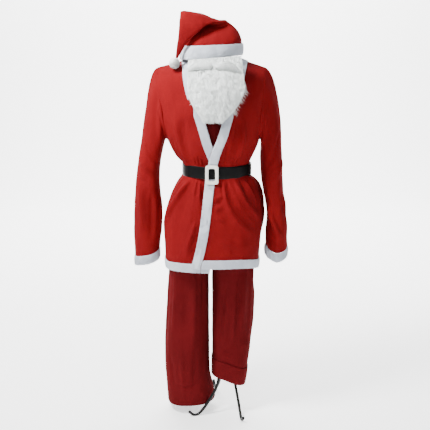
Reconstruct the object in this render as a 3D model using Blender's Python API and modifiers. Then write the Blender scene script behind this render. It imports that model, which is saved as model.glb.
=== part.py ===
# Santa suit worn by a limbless dress form. Metres, +Z up, the suit faces -Y.
# Names use the wearer's side: left is +X.
import math

import bmesh
import bpy
import numpy as np

for ob in list(bpy.data.objects):
    bpy.data.objects.remove(ob, do_unlink=True)

MM = 0.001
GAP = 0.3 * MM          # between pieces that are sewn together or rest on each other
CLOTH = 1.6 * MM        # jacket and hat cloth
TROUSER_CLOTH = 1.4 * MM
PLUSH = 2.6 * MM        # bands and cuffs, without their pile
BELT = 2.8 * MM
BAND_WIDTH = 0.032

part = bpy.data.collections.new("santa_suit")
bpy.context.scene.collection.children.link(part)


def material(name, colour, roughness, metallic=0.0):
    m = bpy.data.materials.new(name)
    m.use_nodes = True
    shader = m.node_tree.nodes["Principled BSDF"]
    shader.inputs["Base Color"].default_value = (*colour, 1.0)
    shader.inputs["Roughness"].default_value = roughness
    shader.inputs["Metallic"].default_value = metallic
    return m


RED = (0.36, 0.022, 0.020)
DARK_RED = (0.20, 0.012, 0.012)
WHITE = (0.80, 0.79, 0.76)
BLACK = (0.012, 0.012, 0.014)


# Tables and curves

def table(names, *rows):
    return dict(zip(names.split(), np.array(rows, float).T))


def at(t, name, key):
    """A column of the table at height key, by a curve that never overshoots its rows."""
    x = t["z"]
    y = t[name]
    key = np.clip(np.asarray(key, float), x[0], x[-1])
    step = np.diff(x)
    rise = np.diff(y) / step
    slope = np.zeros(len(x))
    slope[0] = rise[0]
    slope[-1] = rise[-1]
    for k in range(1, len(x) - 1):
        if rise[k - 1] * rise[k] > 0:
            slope[k] = 2 * rise[k - 1] * rise[k] / (rise[k - 1] + rise[k])
    i = np.clip(np.searchsorted(x, key) - 1, 0, len(step) - 1)
    s = (key - x[i]) / step[i]
    return ((1 + 2 * s) * (1 - s) ** 2 * y[i] + s * (1 - s) ** 2 * step[i] * slope[i]
            + s * s * (3 - 2 * s) * y[i + 1] + s * s * (s - 1) * step[i] * slope[i + 1])


def ease(low, high, value):
    s = np.clip((np.asarray(value, float) - low) / (high - low), 0, 1)
    return s * s * (3 - 2 * s)


def unit(v):
    return v / np.maximum(np.linalg.norm(v, axis=-1, keepdims=True), 1e-12)


# Sections: a is the angle round a section, 0 at the front, 90 at +X, 180 at the back

def ring(t, z, a):
    z, a = np.broadcast_arrays(np.asarray(z, float), np.asarray(a, float))
    s = np.sin(np.radians(a))
    c = np.cos(np.radians(a))
    s = np.where(np.abs(s) < 1e-9, 0, s)
    c = np.where(np.abs(c) < 1e-9, 0, c)
    half = np.where(s >= 0, at(t, "left", z), at(t, "right", z))
    deep = np.where(c >= 0, at(t, "front", z), at(t, "back", z))
    power = 2 / at(t, "square", z)
    x = np.sign(s) * half * np.abs(s) ** power
    y = -np.sign(c) * deep * np.abs(c) ** power
    return np.stack([x, y, z], axis=-1)


def angle_at(t, z, x):
    """The angle on the front of a section where it reaches x."""
    half = np.where(x >= 0, at(t, "left", z), at(t, "right", z))
    ratio = np.clip(np.abs(x) / half, 0, 1)
    return np.sign(x) * np.degrees(np.arcsin(ratio ** (at(t, "square", z) / 2)))


def folded(folds, a, z):
    """How far the folds raise the cloth at that angle and height."""
    total = np.zeros(np.broadcast(a, z).shape)
    for k in range(len(folds["a"])):
        low = folds["low"][k]
        high = folds["high"][k]
        middle = folds["a"][k] + folds["lean"][k] * (z - (low + high) / 2)
        away = (a - middle + 180) % 360 - 180
        fade = ease(low, low + 0.06, z) * (1 - ease(high - 0.05, high, z))
        total = total + folds["depth"][k] * np.exp(-(away / folds["width"][k]) ** 2) * fade
    return total


# Walls: a grid of outer points and the same grid moved in by the cloth's thickness

def normals_of(grid, closed=False):
    if closed:
        across = np.roll(grid, -1, axis=1) - np.roll(grid, 1, axis=1)
    else:
        across = np.gradient(grid, axis=1)
    return unit(np.cross(across, np.gradient(grid, axis=0)))


def solid(name, points, faces, mat):
    """One closed body with its faces turned out."""
    points = np.array(points)
    faces = np.array(faces)
    a, b, c = (points[faces[:, k]] for k in range(3))
    if (a * np.cross(b, c)).sum() < 0:
        faces = faces[:, ::-1]
    mesh = bpy.data.meshes.new(name)
    mesh.from_pydata(points.tolist(), [], faces.tolist())
    ob = bpy.data.objects.new(name, mesh)
    ob.data.materials.append(mat)
    part.objects.link(ob)
    mesh.shade_smooth()
    mesh.set_sharp_from_angle(angle=math.radians(38))
    return ob


def wall(name, outer, inner, mat, closed=False, slant=1):
    """A closed solid between two grids; slant says which way each cell is cut in two."""
    rows, cols = outer.shape[:2]
    points = np.concatenate([outer.reshape(-1, 3), inner.reshape(-1, 3)])
    base = rows * cols
    faces = []

    def quad(a, b, c, d):
        faces.append((a, b, c))
        faces.append((a, c, d))

    last = cols if closed else cols - 1
    for i in range(rows - 1):
        for j in range(last):
            k = (j + 1) % cols
            a, b, c, d = i * cols + j, i * cols + k, (i + 1) * cols + k, (i + 1) * cols + j
            if slant < 0:
                a, b, c, d = b, c, d, a
            quad(a, b, c, d)
            faces.append((base + c, base + b, base + a))
            faces.append((base + d, base + c, base + a))
    for j in range(last):
        k = (j + 1) % cols
        top = (rows - 1) * cols
        quad(base + j, base + k, k, j)
        quad(top + j, top + k, base + top + k, base + top + j)
    if not closed:
        for i in range(rows - 1):
            a, d = i * cols, (i + 1) * cols
            quad(base + a, a, d, base + d)
            a, d = a + cols - 1, d + cols - 1
            quad(base + a, base + d, d, a)
    return solid(name, points, faces, mat)


def capped(name, grid, mat):
    """A solid skin over closed rings, with a fan over each end."""
    rows, cols = grid.shape[:2]
    points = np.concatenate([grid.reshape(-1, 3), [grid[0].mean(0)], [grid[-1].mean(0)]])
    faces = []
    for i in range(rows - 1):
        for j in range(cols):
            k = (j + 1) % cols
            a, b, c, d = i * cols + j, i * cols + k, (i + 1) * cols + k, (i + 1) * cols + j
            faces.append((a, b, c))
            faces.append((a, c, d))
    for j in range(cols):
        k = (j + 1) % cols
        faces.append((rows * cols, k, j))
        faces.append((rows * cols + 1, (rows - 1) * cols + j, (rows - 1) * cols + k))
    return solid(name, points, faces, mat)


def shifted(outer, inner, columns):
    """Some columns of a closed tube, with both side edges drawn back by half a gap."""
    o = outer[:, columns].copy()
    n = inner[:, columns].copy()
    for edge, nearby in ((0, 1), (-1, -2)):
        along = unit(o[:, nearby] - o[:, edge])
        face = unit(o[:, edge] - n[:, edge])
        along = unit(along - face * (along * face).sum(-1, keepdims=True))
        o[:, edge] += along * GAP / 2
        n[:, edge] += along * GAP / 2
    return o, n


# Jacket

JACKET = table("z left right front back square",
               (0.560, 0.161, 0.181, 0.137, 0.132, 2.5),
               (0.610, 0.164, 0.185, 0.138, 0.132, 2.5),
               (0.690, 0.169, 0.187, 0.137, 0.130, 2.4),
               (0.765, 0.175, 0.185, 0.135, 0.126, 2.4),
               (0.820, 0.168, 0.172, 0.130, 0.118, 2.3),
               (0.870, 0.162, 0.151, 0.122, 0.108, 2.3),
               (0.905, 0.146, 0.130, 0.1098, 0.095, 2.3),
               (0.918, 0.1250, 0.1160, 0.1050, 0.0900, 2.3),
               (0.962, 0.1240, 0.1150, 0.1050, 0.0900, 2.3),
               (0.985, 0.135, 0.143, 0.113, 0.098, 2.3),
               (1.010, 0.150, 0.156, 0.119, 0.103, 2.3),
               (1.032, 0.155, 0.163, 0.122, 0.105, 2.3),
               (1.044, 0.162, 0.172, 0.124, 0.106, 2.3),
               (1.080, 0.172, 0.188, 0.126, 0.107, 2.3),
               (1.140, 0.182, 0.206, 0.126, 0.107, 2.3),
               (1.200, 0.190, 0.218, 0.119, 0.105, 2.3),
               (1.240, 0.193, 0.222, 0.108, 0.099, 2.3),
               (1.272, 0.193, 0.221, 0.092, 0.087, 2.3),
               (1.298, 0.190, 0.217, 0.070, 0.072, 2.3),
               (1.318, 0.185, 0.211, 0.043, 0.052, 2.3),
               (1.335, 0.180, 0.205, 0.00015, 0.00015, 2.3))
BODY_Z = (0.680, 0.745, 0.805, 0.860, 0.902, 0.918, 0.962, 0.982, 1.012, 1.044,
          1.060, 1.090, 1.140, 1.195, 1.245, 1.285, 1.315, 1.335)
UNDERARM = 1.044
ARMHOLE = table("z left right",
                (1.044, 0.162, 0.172),
                (1.058, 0.158, 0.174),
                (1.080, 0.158, 0.178),
                (1.140, 0.163, 0.188),
                (1.200, 0.168, 0.197),
                (1.272, 0.176, 0.204),
                (1.335, 0.180, 0.205))
SHOULDER = 1.335
NECK_HALF = 0.084
NECK_DROP = 0.022
SHOULDER_DROP = 0.032
FREE_EDGE = table("z left right",
                  (0.560, -0.086, -0.020),
                  (0.600, -0.083, -0.018),
                  (0.647, -0.069, -0.010),
                  (0.703, -0.058, 0.000),
                  (0.776, -0.048, 0.010),
                  (0.847, -0.040, 0.018),
                  (0.892, -0.035, 0.020),
                  (0.958, -0.026, 0.018),
                  (1.025, -0.009, -0.006),
                  (1.060, 0.007, -0.017),
                  (1.136, 0.029, -0.038),
                  (1.173, 0.045, -0.053),
                  (1.213, 0.058, -0.069),
                  (1.280, 0.070, -0.080),
                  (1.335, 0.084, -0.084))
HEM = {"left": 0.597, "right": 0.580, "back": 0.574}
SIDE_HEM = 0.574
JACKET_FOLDS = table("a width depth low high lean",
                     (31, 8, 0.0080, 0.58, 0.92, -35),
                     (50, 9, 0.0065, 0.58, 0.93, -30),
                     (69, 8, 0.0075, 0.64, 0.92, 15),
                     (112, 10, 0.0080, 0.58, 0.91, 10),
                     (139, 9, 0.0090, 0.58, 0.91, 5),
                     (163, 9, 0.0075, 0.62, 0.92, 0),
                     (188, 10, 0.0095, 0.58, 0.91, -8),
                     (214, 9, 0.0075, 0.60, 0.92, -5),
                     (243, 10, 0.0085, 0.58, 0.91, -10),
                     (289, 8, 0.0080, 0.62, 0.92, 30),
                     (307, 8, 0.0090, 0.58, 0.93, 45),
                     (328, 8, 0.0065, 0.60, 0.91, 30),
                     (36, 7, 0.0045, 0.965, 1.09, 10),
                     (60, 8, 0.0040, 0.965, 1.06, 0),
                     (306, 8, 0.0045, 0.965, 1.08, -10),
                     (148, 9, 0.0050, 0.965, 1.12, 0),
                     (180, 9, 0.0045, 0.965, 1.14, 0),
                     (210, 9, 0.0050, 0.965, 1.12, 0))


def shoulder_droop(z, x):
    """Shoulders slope down away from the neck; the slope fades out down the chest."""
    reach = np.where(x >= 0, 0.180, 0.205) - NECK_HALF
    return SHOULDER_DROP * ease(1.20, SHOULDER, z) * np.maximum(np.abs(x) - NECK_HALF, 0) / reach


def jacket_at(z, a, extra=0.0):
    """The jacket's outside at section z and angle a, with folds, raised by extra."""
    p = ring(JACKET, z, a)
    lift = folded(JACKET_FOLDS, a, p[..., 2]) + extra
    s = np.sin(np.radians(a))
    c = np.cos(np.radians(a))
    p[..., 0] += s * lift
    p[..., 1] -= c * lift
    p[..., 2] -= shoulder_droop(p[..., 2], p[..., 0])
    return p


def overlap_lift(z, x):
    """How far the left front stands off, where it laps over the right front and its band."""
    height = (1 - ease(1.08, 1.17, z)) * (1 - ease(0.060, 0.110, x))
    return (GAP + PLUSH + GAP + CLOTH + 2.8 * MM) * height


def front_grid(side, inner_columns, band_columns=2):
    """Outer points of a front. side is +1 for the left (upper) front and -1 for the right."""
    name = "left" if side > 0 else "right"
    hem_rows = HEM[name] + np.array([0.0, BAND_WIDTH / 2, BAND_WIDTH])
    rows = np.concatenate([hem_rows, BODY_Z])
    grid = []
    for k, z in enumerate(rows):
        free = float(at(FREE_EDGE, name, z))
        sewn = free + side * BAND_WIDTH
        edge_x = np.linspace(free, sewn, band_columns + 1)
        edge_a = side * angle_at(JACKET, np.full(len(edge_x), z), edge_x)
        end_a = 90.0
        if z > UNDERARM:
            arm_x = side * float(at(ARMHOLE, name, z))
            end_a = side * float(angle_at(JACKET, z, arm_x))
        rest = np.linspace(edge_a[-1], end_a, inner_columns + 1)[1:]
        a = np.concatenate([edge_a, rest])
        drop = np.zeros(len(a))
        if k < 3:
            drop = (HEM[name] - SIDE_HEM) * ease(20, 90, a)
        x = side * np.sin(np.radians(a)) * 0.15
        extra = overlap_lift(z, x) if side > 0 else 0.0
        p = jacket_at(z - drop, side * a, extra)
        grid.append(p)
    grid = np.array(grid)
    if side < 0:
        grid = grid[:, ::-1]
    return grid


def back_grid(inner_columns, neck_columns):
    """Outer points of the back, from +X to -X. Columns between the shoulders end at the neck."""
    rows = np.concatenate([HEM["back"] + np.array([0.0, BAND_WIDTH / 2, BAND_WIDTH]), BODY_Z])
    shares = []
    for name, sign in (("left", -1), ("right", 1)):
        tip = float(at(JACKET, name, SHOULDER))
        neck = math.asin((NECK_HALF / tip) ** (2.3 / 2)) / math.radians(90)
        f = np.concatenate([np.linspace(0, neck, neck_columns + 1),
                            np.linspace(neck, 1, inner_columns + 1)[1:]])
        shares.append((name, sign, f))
    grid = []
    for z in rows:
        row = []
        for name, sign, f in shares:
            end = 90.0
            if z > UNDERARM:
                end = abs(float(angle_at(JACKET, z, float(at(ARMHOLE, name, z)) * -sign)))
            a = 180 + sign * f * end
            top = neckline(f * 90, name)
            zz = np.where(z > 1.20, 1.20 + (z - 1.20) * (top - 1.20) / (SHOULDER - 1.20), z)
            if sign < 0:
                a = a[::-1]
                zz = zz[::-1]
                row.append((a, zz))
            else:
                row.append((a[1:], zz[1:]))
        a = np.concatenate([row[0][0], row[1][0]])
        zz = np.concatenate([row[0][1], row[1][1]])
        grid.append(jacket_at(zz, a))
    return np.array(grid)


def neckline(angle, name):
    """Section height where the back ends at that angle from its middle."""
    tip = float(at(JACKET, name, SHOULDER))
    x = tip * np.sin(np.radians(angle)) ** (2 / 2.3)
    inside = np.clip(1 - (x / NECK_HALF) ** 2, 0, 1)
    return SHOULDER - NECK_DROP * np.sqrt(inside)


cloth_red = material("suit_red", RED, 0.75)
plush_white = material("plush_white", WHITE, 0.95)

front_left = front_grid(1, 10)
front_right = front_grid(-1, 10)
back = back_grid(6, 3)
# the side and shoulder seams lie in the plane y = 0
front_left[:, -1, 1] = np.where(front_left[:, -1, 2] < UNDERARM + 1e-6, -GAP / 2, front_left[:, -1, 1])
front_right[:, 0, 1] = np.where(front_right[:, 0, 2] < UNDERARM + 1e-6, -GAP / 2, front_right[:, 0, 1])
for edge in (0, -1):
    low = back[:, edge, 2] < UNDERARM + 1e-6
    back[:, edge, 1] = np.where(low, GAP / 2, back[:, edge, 1])
seam_row = (slice(-1, None), slice(None))
front_left[seam_row + (1,)] = -GAP / 2
front_right[seam_row + (1,)] = -GAP / 2
on_seam = np.abs(back[-1, :, 0]) > NECK_HALF - 0.001
back[-1, on_seam, 1] = GAP / 2


def jacket_normals(grid, side_edges):
    n = normals_of(grid)
    below = np.nonzero(grid[:, side_edges[0], 2] < UNDERARM + 1e-6)[0]
    for edge in side_edges:
        n[below, edge, 1] = 0
        n[below, edge] = unit(n[below, edge])
    return n


n_left = jacket_normals(front_left, (-1,))
n_right = jacket_normals(front_right, (0,))
n_back = jacket_normals(back, (0, -1))
for n, keep in ((n_left, slice(None)), (n_right, slice(None)), (n_back, on_seam)):
    n[-1, keep, 1] = 0
    n[-1, keep] = unit(n[-1, keep])

in_left = front_left - n_left * CLOTH
in_right = front_right - n_right * CLOTH
in_back = back - n_back * CLOTH
wall("jacket_front_left", front_left, in_left, cloth_red)
wall("jacket_front_right", front_right, in_right, cloth_red)
wall("jacket_back", back, in_back, cloth_red)


def strip_on(name, grid, normal, crown, mat):
    """A plush strip on cloth, from the cloth's own points moved out."""
    low = grid + normal * GAP
    high = grid + normal * (GAP + PLUSH + crown[..., None])
    wall(name, high, low, mat)


crown_across = np.array([0.0, 1.0, 0.0]) * MM
strip_on("front_band_left", front_left[:, :3], n_left[:, :3],
         np.tile(crown_across, (len(front_left), 1)), plush_white)
strip_on("front_band_right", front_right[:, -3:], n_right[:, -3:],
         np.tile(crown_across, (len(front_right), 1)), plush_white)


def hem_strip(name, grid, normal, cut_first, cut_last):
    """A plush strip on the hem, ended short of the front band's side."""
    g = grid[:3].copy()
    if cut_first:
        g[:, 0] += unit(g[:, 1] - g[:, 0]) * 1.6 * MM
    if cut_last:
        g[:, -1] += unit(g[:, -2] - g[:, -1]) * 1.6 * MM
    crown = np.tile(crown_across[:, None], (1, g.shape[1]))
    strip_on(name, g, normal[:3], crown, plush_white)


hem_strip("hem_band_left", front_left[:, 2:], n_left[:, 2:], True, False)
hem_strip("hem_band_right", front_right[:, :-2], n_right[:, :-2], False, True)
hem_strip("hem_band_back", back, n_back, False, False)


def neck_band():
    """The band round the back of the neck, between the front bands' upper ends."""
    turn = np.radians(np.linspace(90, -90, 15))
    grid = []
    for width in (BAND_WIDTH, BAND_WIDTH / 2, 0.0):
        x = (NECK_HALF + width) * np.sin(turn)
        z = SHOULDER - (NECK_DROP + width) * np.cos(turn) ** 0.8
        a = 180 - angle_at(JACKET, z, x)
        grid.append(jacket_at(z, a))
    grid = np.array(grid)
    grid[:, 0, 1] = GAP / 2
    grid[:, -1, 1] = GAP / 2
    n = normals_of(grid)
    for edge in (0, -1):
        n[:, edge, 1] = 0
        n[:, edge] = unit(n[:, edge])
    lift = np.full(len(turn), 2.0 * MM)
    lift[[0, -1]] = GAP
    low = grid + n * lift[None, :, None]
    high = grid + n * (lift + PLUSH)[None, :, None]
    wall("neck_band_back", high, low, plush_white)


neck_band()


# Sleeves

SLEEVE_TOP = 1.000
SLEEVE_LEFT = table("z outside inside front back",
                    (0.560, 0.262, 0.192, 0.050, 0.050),
                    (0.640, 0.270, 0.187, 0.056, 0.054),
                    (0.705, 0.267, 0.187, 0.058, 0.056),
                    (0.745, 0.262, 0.191, 0.058, 0.056),
                    (0.782, 0.257, 0.193, 0.058, 0.057),
                    (0.820, 0.254, 0.187, 0.058, 0.057),
                    (0.860, 0.250, 0.176, 0.058, 0.058),
                    (0.932, 0.247, 0.166, 0.060, 0.060),
                    (1.000, 0.243, 0.164, 0.062, 0.062))
SLEEVE_RIGHT = table("z outside inside front back",
                     (0.560, 0.296, 0.208, 0.052, 0.050),
                     (0.640, 0.301, 0.206, 0.057, 0.055),
                     (0.705, 0.302, 0.199, 0.058, 0.056),
                     (0.745, 0.301, 0.195, 0.058, 0.057),
                     (0.782, 0.300, 0.192, 0.059, 0.058),
                     (0.820, 0.298, 0.195, 0.059, 0.058),
                     (0.860, 0.294, 0.200, 0.058, 0.058),
                     (0.932, 0.286, 0.203, 0.058, 0.060),
                     (1.000, 0.276, 0.190, 0.062, 0.062))
CAP_STEPS = (0.0, 0.10, 0.26, 0.44, 0.62, 0.80, 1.0)
SLEEVE_Z = (0.955, 0.905, 0.855, 0.805, 0.755, 0.705, 0.665)
CUFF_LONG = 0.034
SLEEVE_END = {"left": (0.649, 0.628, 0.655, 0.640), "right": (0.610, 0.622, 0.640, 0.626)}
SLEEVE_FOLDS = table("a width depth low high lean",
                     (40, 16, 0.0040, 0.62, 1.02, 60),
                     (85, 15, -0.0045, 0.62, 1.04, 80),
                     (130, 16, 0.0040, 0.70, 1.00, 90),
                     (230, 18, 0.0040, 0.62, 1.02, -60),
                     (300, 18, -0.0045, 0.66, 1.04, -50))


def sleeve_ring(t, side, z, b):
    """A level section of a sleeve; b runs from the outside (0) over the front (90) to the body."""
    out = at(t, "outside", z)
    near = at(t, "inside", z)
    c = np.cos(np.radians(b))
    s = np.sin(np.radians(b))
    deep = np.where(s >= 0, at(t, "front", z), at(t, "back", z))
    lift = folded(SLEEVE_FOLDS, b, z) * np.abs(s)
    x = (out + near) / 2 + (out - near) / 2 * np.sign(c) * np.abs(c) ** 0.9
    y = -np.sign(s) * (deep * np.abs(s) ** 0.9 + lift)
    y = np.where(np.abs(s) < 1e-6, 0, y)
    return np.stack([side * x, y, np.broadcast_to(z, x.shape)], axis=-1)


def armhole_loop(side):
    """The body's armhole edge, outer and inner points, from the shoulder over the front and round."""
    if side > 0:
        f, fi, b, bi = front_left[:, -1], in_left[:, -1], back[:, 0], in_back[:, 0]
        nf, nb = n_left[:, -1], n_back[:, 0]
        before_f, before_b = front_left[:, -2], back[:, 1]
    else:
        f, fi, b, bi = front_right[:, 0], in_right[:, 0], back[:, -1], in_back[:, -1]
        nf, nb = n_right[:, 0], n_back[:, -1]
        before_f, before_b = front_right[:, 1], back[:, -2]
    first = 2 + 1 + BODY_Z.index(UNDERARM)
    front_part = slice(None, first - 1, -1)
    back_part = slice(first + 1, -1)
    outer = np.concatenate([f[front_part], b[back_part]])
    inner = np.concatenate([fi[front_part], bi[back_part]])
    normal = np.concatenate([nf[front_part], nb[back_part]])
    before = np.concatenate([before_f[front_part], before_b[back_part]])
    for k in (0, len(f[front_part]) - 1):
        outer[k, 1] = 0
        inner[k, 1] = 0
    return outer, inner, normal, before, len(f[front_part])


def sleeve(side):
    name = "left" if side > 0 else "right"
    t = SLEEVE_LEFT if side > 0 else SLEEVE_RIGHT
    outer0, inner0, normal, before, half = armhole_loop(side)
    count = len(outer0)
    b = np.concatenate([np.linspace(0, 180, half), np.linspace(180, 360, count - half + 2)[1:-1]])
    tangent = np.roll(outer0, -1, axis=0) - np.roll(outer0, 1, axis=0)
    away = unit(np.cross(tangent, normal))
    away *= np.sign((away * (outer0 - before)).sum(-1, keepdims=True))
    for k in (0, half - 1):
        away[k, 1] = 0
    away = unit(away)
    head = outer0 + away * GAP
    head_inner = inner0 + away * GAP
    end = sleeve_ring(t, side, SLEEVE_TOP, b)
    reach = np.linalg.norm(end - head, axis=-1, keepdims=True)
    up = unit(np.array([0.0 if side > 0 else 0.21, 0.0, 1.0]))
    under = ((180 - np.abs(b - 180)) / 180)[:, None]
    first = head + away * reach * (0.14 + 0.22 * under ** 4)
    second = end + up * reach * 0.45
    rows = []
    for u in CAP_STEPS[:-1]:
        rows.append((1 - u) ** 3 * head + 3 * (1 - u) ** 2 * u * first
                    + 3 * (1 - u) * u * u * second + u ** 3 * end)
    rows.append(end)
    for z in SLEEVE_Z:
        rows.append(sleeve_ring(t, side, z, b))
    knots = np.array(SLEEVE_END[name] + SLEEVE_END[name][:1])
    z_end = np.interp(b, (0, 90, 180, 270, 360), knots)
    rows.append(sleeve_ring(t, side, z_end, b))
    grid = np.array(rows)
    n = normals_of(grid, closed=True)
    axis = grid.mean(axis=1, keepdims=True)
    if (n * (grid - axis)).sum() < 0:
        n = -n
    for k in (0, half - 1):
        n[:, k, 1] = 0
    n[-1, :, 2] = 0
    n = unit(n)
    inner = grid - n * CLOTH
    inner[0] = head_inner
    columns_front = list(range(0, half))
    columns_back = list(range(half - 1, count)) + [0]
    for label, columns in (("front", columns_front), ("back", columns_back)):
        o, i = shifted(grid, inner, columns)
        if side < 0:
            o, i = o[:, ::-1], i[:, ::-1]
        wall("sleeve_%s_%s" % (name, label), o[::-1, ::-1], i[::-1, ::-1], cloth_red)
    cuff(name, side, t, b, z_end)


def cuff(name, side, t, b, z_end):
    rows = []
    for share, bulge in ((0.0, 0.8), (0.25, 2.6), (0.6, 3.0), (1.0, 1.4)):
        z = z_end - GAP - share * CUFF_LONG
        p = sleeve_ring(t, side, z, b)
        middle = p.mean(axis=0)
        out = p - middle
        out[:, 2] = 0
        rows.append(p + unit(out) * bulge * MM)
    grid = np.array(rows)
    n = normals_of(grid, closed=True)
    if (n * (grid - grid.mean(axis=1, keepdims=True))).sum() < 0:
        n = -n
    n[..., 2] = 0
    n = unit(n)
    inner = grid - n * PLUSH
    o, i = grid[::-1], inner[::-1]
    if side > 0:
        o, i = o[:, ::-1], i[:, ::-1]
    wall("cuff_%s" % name, o, i, plush_white, closed=True)


sleeve(1)
sleeve(-1)


# Belt and buckle

BELT_Z = (0.9185, 0.9615)
belt_black = material("belt_black", BLACK, 0.35)
buckle_white = material("buckle_white", (0.78, 0.77, 0.72), 0.3)


def belt_loop(count=32):
    """Plan of the strap's inside: the cloth and bands it holds, wrapped tight."""
    held = []
    band = front_left[:, :3] + n_left[:, :3] * (GAP + PLUSH + 1.0 * MM)
    for grid in (front_left, front_right, back, band):
        rows = np.abs(grid[:, 1, 2] - sum(BELT_Z) / 2) < 0.03
        held.append(grid[rows].reshape(-1, 3)[:, :2])
    held = np.concatenate(held)
    turn = np.radians(np.arange(count) * 360 / count)
    facing = np.stack([np.sin(turn), -np.cos(turn)], axis=-1)
    far = (held @ facing.T).max(axis=0) + GAP + 0.2 * MM
    far += 5 * MM * np.exp(-((np.degrees(turn) - 80) / 22) ** 2)
    corners = []
    for k in range(count):
        m = (k + 1) % count
        corners.append(np.linalg.solve(np.array([facing[k], facing[m]]), [far[k], far[m]]))
    return np.array(corners)


def belt():
    loop = belt_loop()
    across = np.roll(loop, -1, axis=0) - np.roll(loop, 1, axis=0)
    out = unit(np.stack([across[:, 1], -across[:, 0]], axis=-1))
    rows_out = []
    rows_in = []
    for z, bulge in ((BELT_Z[0], 0.0), (sum(BELT_Z) / 2, 0.8), (BELT_Z[1], 0.0)):
        level = np.full((len(loop), 1), z)
        rows_in.append(np.hstack([loop, level]))
        rows_out.append(np.hstack([loop + out * (BELT + bulge * MM), level]))
    wall("belt_strap", np.array(rows_out), np.array(rows_in), belt_black, closed=True)
    return -(loop[:, 1].min()) + BELT + 0.8 * MM


belt_front = belt()

BUCKLE_AT = (-0.011, 0.935)
BUCKLE_OUTER = (0.047, 0.068, 0.009)
BUCKLE_HOLE = (0.023, 0.044, 0.005)
BUCKLE_THICK = 4.0 * MM
BUCKLE_LEAN = 0.05       # its lower bar stands forward, off the flaring skirt


def rounded(width, height, radius, per_corner=4):
    points = []
    for k, (sx, sz) in enumerate(((1, 1), (-1, 1), (-1, -1), (1, -1))):
        for step in range(per_corner + 1):
            turn = math.radians(90 * k + 90 * step / per_corner)
            points.append((sx * (width / 2 - radius) + radius * math.cos(turn),
                           sz * (height / 2 - radius) + radius * math.sin(turn)))
    return np.array(points)


def buckle():
    back_y = -(belt_front + GAP)
    front_y = back_y - BUCKLE_THICK
    edge = 1.2 * MM
    wide, tall, radius = BUCKLE_OUTER
    open_wide, open_tall, open_radius = BUCKLE_HOLE
    loops = ((wide, tall, radius, back_y), (wide, tall, radius, front_y + edge),
             (wide - 2 * edge, tall - 2 * edge, radius - edge, front_y),
             (open_wide + 2 * edge, open_tall + 2 * edge, open_radius + edge, front_y),
             (open_wide, open_tall, open_radius, front_y + edge), (open_wide, open_tall, open_radius, back_y))
    grid = []
    for w, h, r, y in loops:
        flat = rounded(w, h, r)
        lean = (flat[:, 1] - tall / 2 + 0.016) * BUCKLE_LEAN
        grid.append(np.stack([BUCKLE_AT[0] + flat[:, 0], y + lean, BUCKLE_AT[1] + flat[:, 1]], -1))
    grid = np.array(grid)
    rows, cols = grid.shape[:2]
    faces = []
    for i in range(rows):
        for j in range(cols):
            m = (i + 1) % rows
            k = (j + 1) % cols
            a, b, c, d = i * cols + j, i * cols + k, m * cols + k, m * cols + j
            faces.append((a, b, c))
            faces.append((a, c, d))
    solid("belt_buckle", grid.reshape(-1, 3), faces, buckle_white)


buckle()


# Trousers: worn high, so their gathered waist shows in the jacket's neck

TROUSERS = table("z left right front back square",
                 (0.660, 0.150, 0.172, 0.110, 0.106, 2.3),
                 (0.760, 0.152, 0.166, 0.118, 0.110, 2.3),
                 (0.820, 0.154, 0.156, 0.120, 0.108, 2.3),
                 (0.870, 0.150, 0.138, 0.114, 0.100, 2.3),
                 (0.905, 0.134, 0.120, 0.106, 0.090, 2.3),
                 (0.918, 0.1220, 0.1130, 0.1020, 0.0870, 2.3),
                 (0.962, 0.1210, 0.1120, 0.1020, 0.0870, 2.3),
                 (0.990, 0.128, 0.128, 0.107, 0.091, 2.3),
                 (1.050, 0.138, 0.144, 0.112, 0.094, 2.3),
                 (1.113, 0.145, 0.151, 0.114, 0.095, 2.3),
                 (1.150, 0.147, 0.154, 0.114, 0.095, 2.3))
CROTCH = 0.690
LEGS_JOIN = 0.750
SEAM_X = -0.017
LEG_LEFT = table("z outside inside front back",
                 (0.080, 0.112, -0.0125, 0.074, 0.070),
                 (0.127, 0.118, -0.0125, 0.076, 0.072),
                 (0.170, 0.125, -0.0120, 0.078, 0.074),
                 (0.210, 0.130, -0.0120, 0.080, 0.076),
                 (0.291, 0.139, -0.0115, 0.082, 0.080),
                 (0.372, 0.143, -0.0115, 0.085, 0.084),
                 (0.492, 0.146, -0.0115, 0.088, 0.088),
                 (0.600, 0.148, -0.0115, 0.094, 0.094),
                 (0.665, 0.149, -0.0115, 0.100, 0.098),
                 (0.690, 0.149, -0.0169, 0.102, 0.100))
LEG_RIGHT = table("z outside inside front back",
                  (0.020, 0.183, -0.0040, 0.084, 0.076),
                  (0.085, 0.187, 0.0050, 0.083, 0.076),
                  (0.112, 0.189, 0.0120, 0.083, 0.076),
                  (0.140, 0.191, 0.0195, 0.082, 0.077),
                  (0.168, 0.193, 0.0205, 0.082, 0.077),
                  (0.251, 0.192, 0.0210, 0.083, 0.079),
                  (0.332, 0.190, 0.0220, 0.084, 0.082),
                  (0.412, 0.182, 0.0220, 0.087, 0.085),
                  (0.492, 0.179, 0.0225, 0.090, 0.088),
                  (0.560, 0.172, 0.0225, 0.093, 0.092),
                  (0.610, 0.169, 0.0225, 0.096, 0.094),
                  (0.665, 0.168, 0.0225, 0.102, 0.098),
                  (0.690, 0.168, 0.0171, 0.104, 0.100))
TROUSER_Z = (1.113, 1.080, 1.035, 0.990, 0.962, 0.918, 0.870, 0.810, 0.755, 0.725, 0.703, 0.690)
LEG_Z = (0.680, 0.655, 0.600, 0.520, 0.430, 0.340, 0.255, 0.190)
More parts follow.
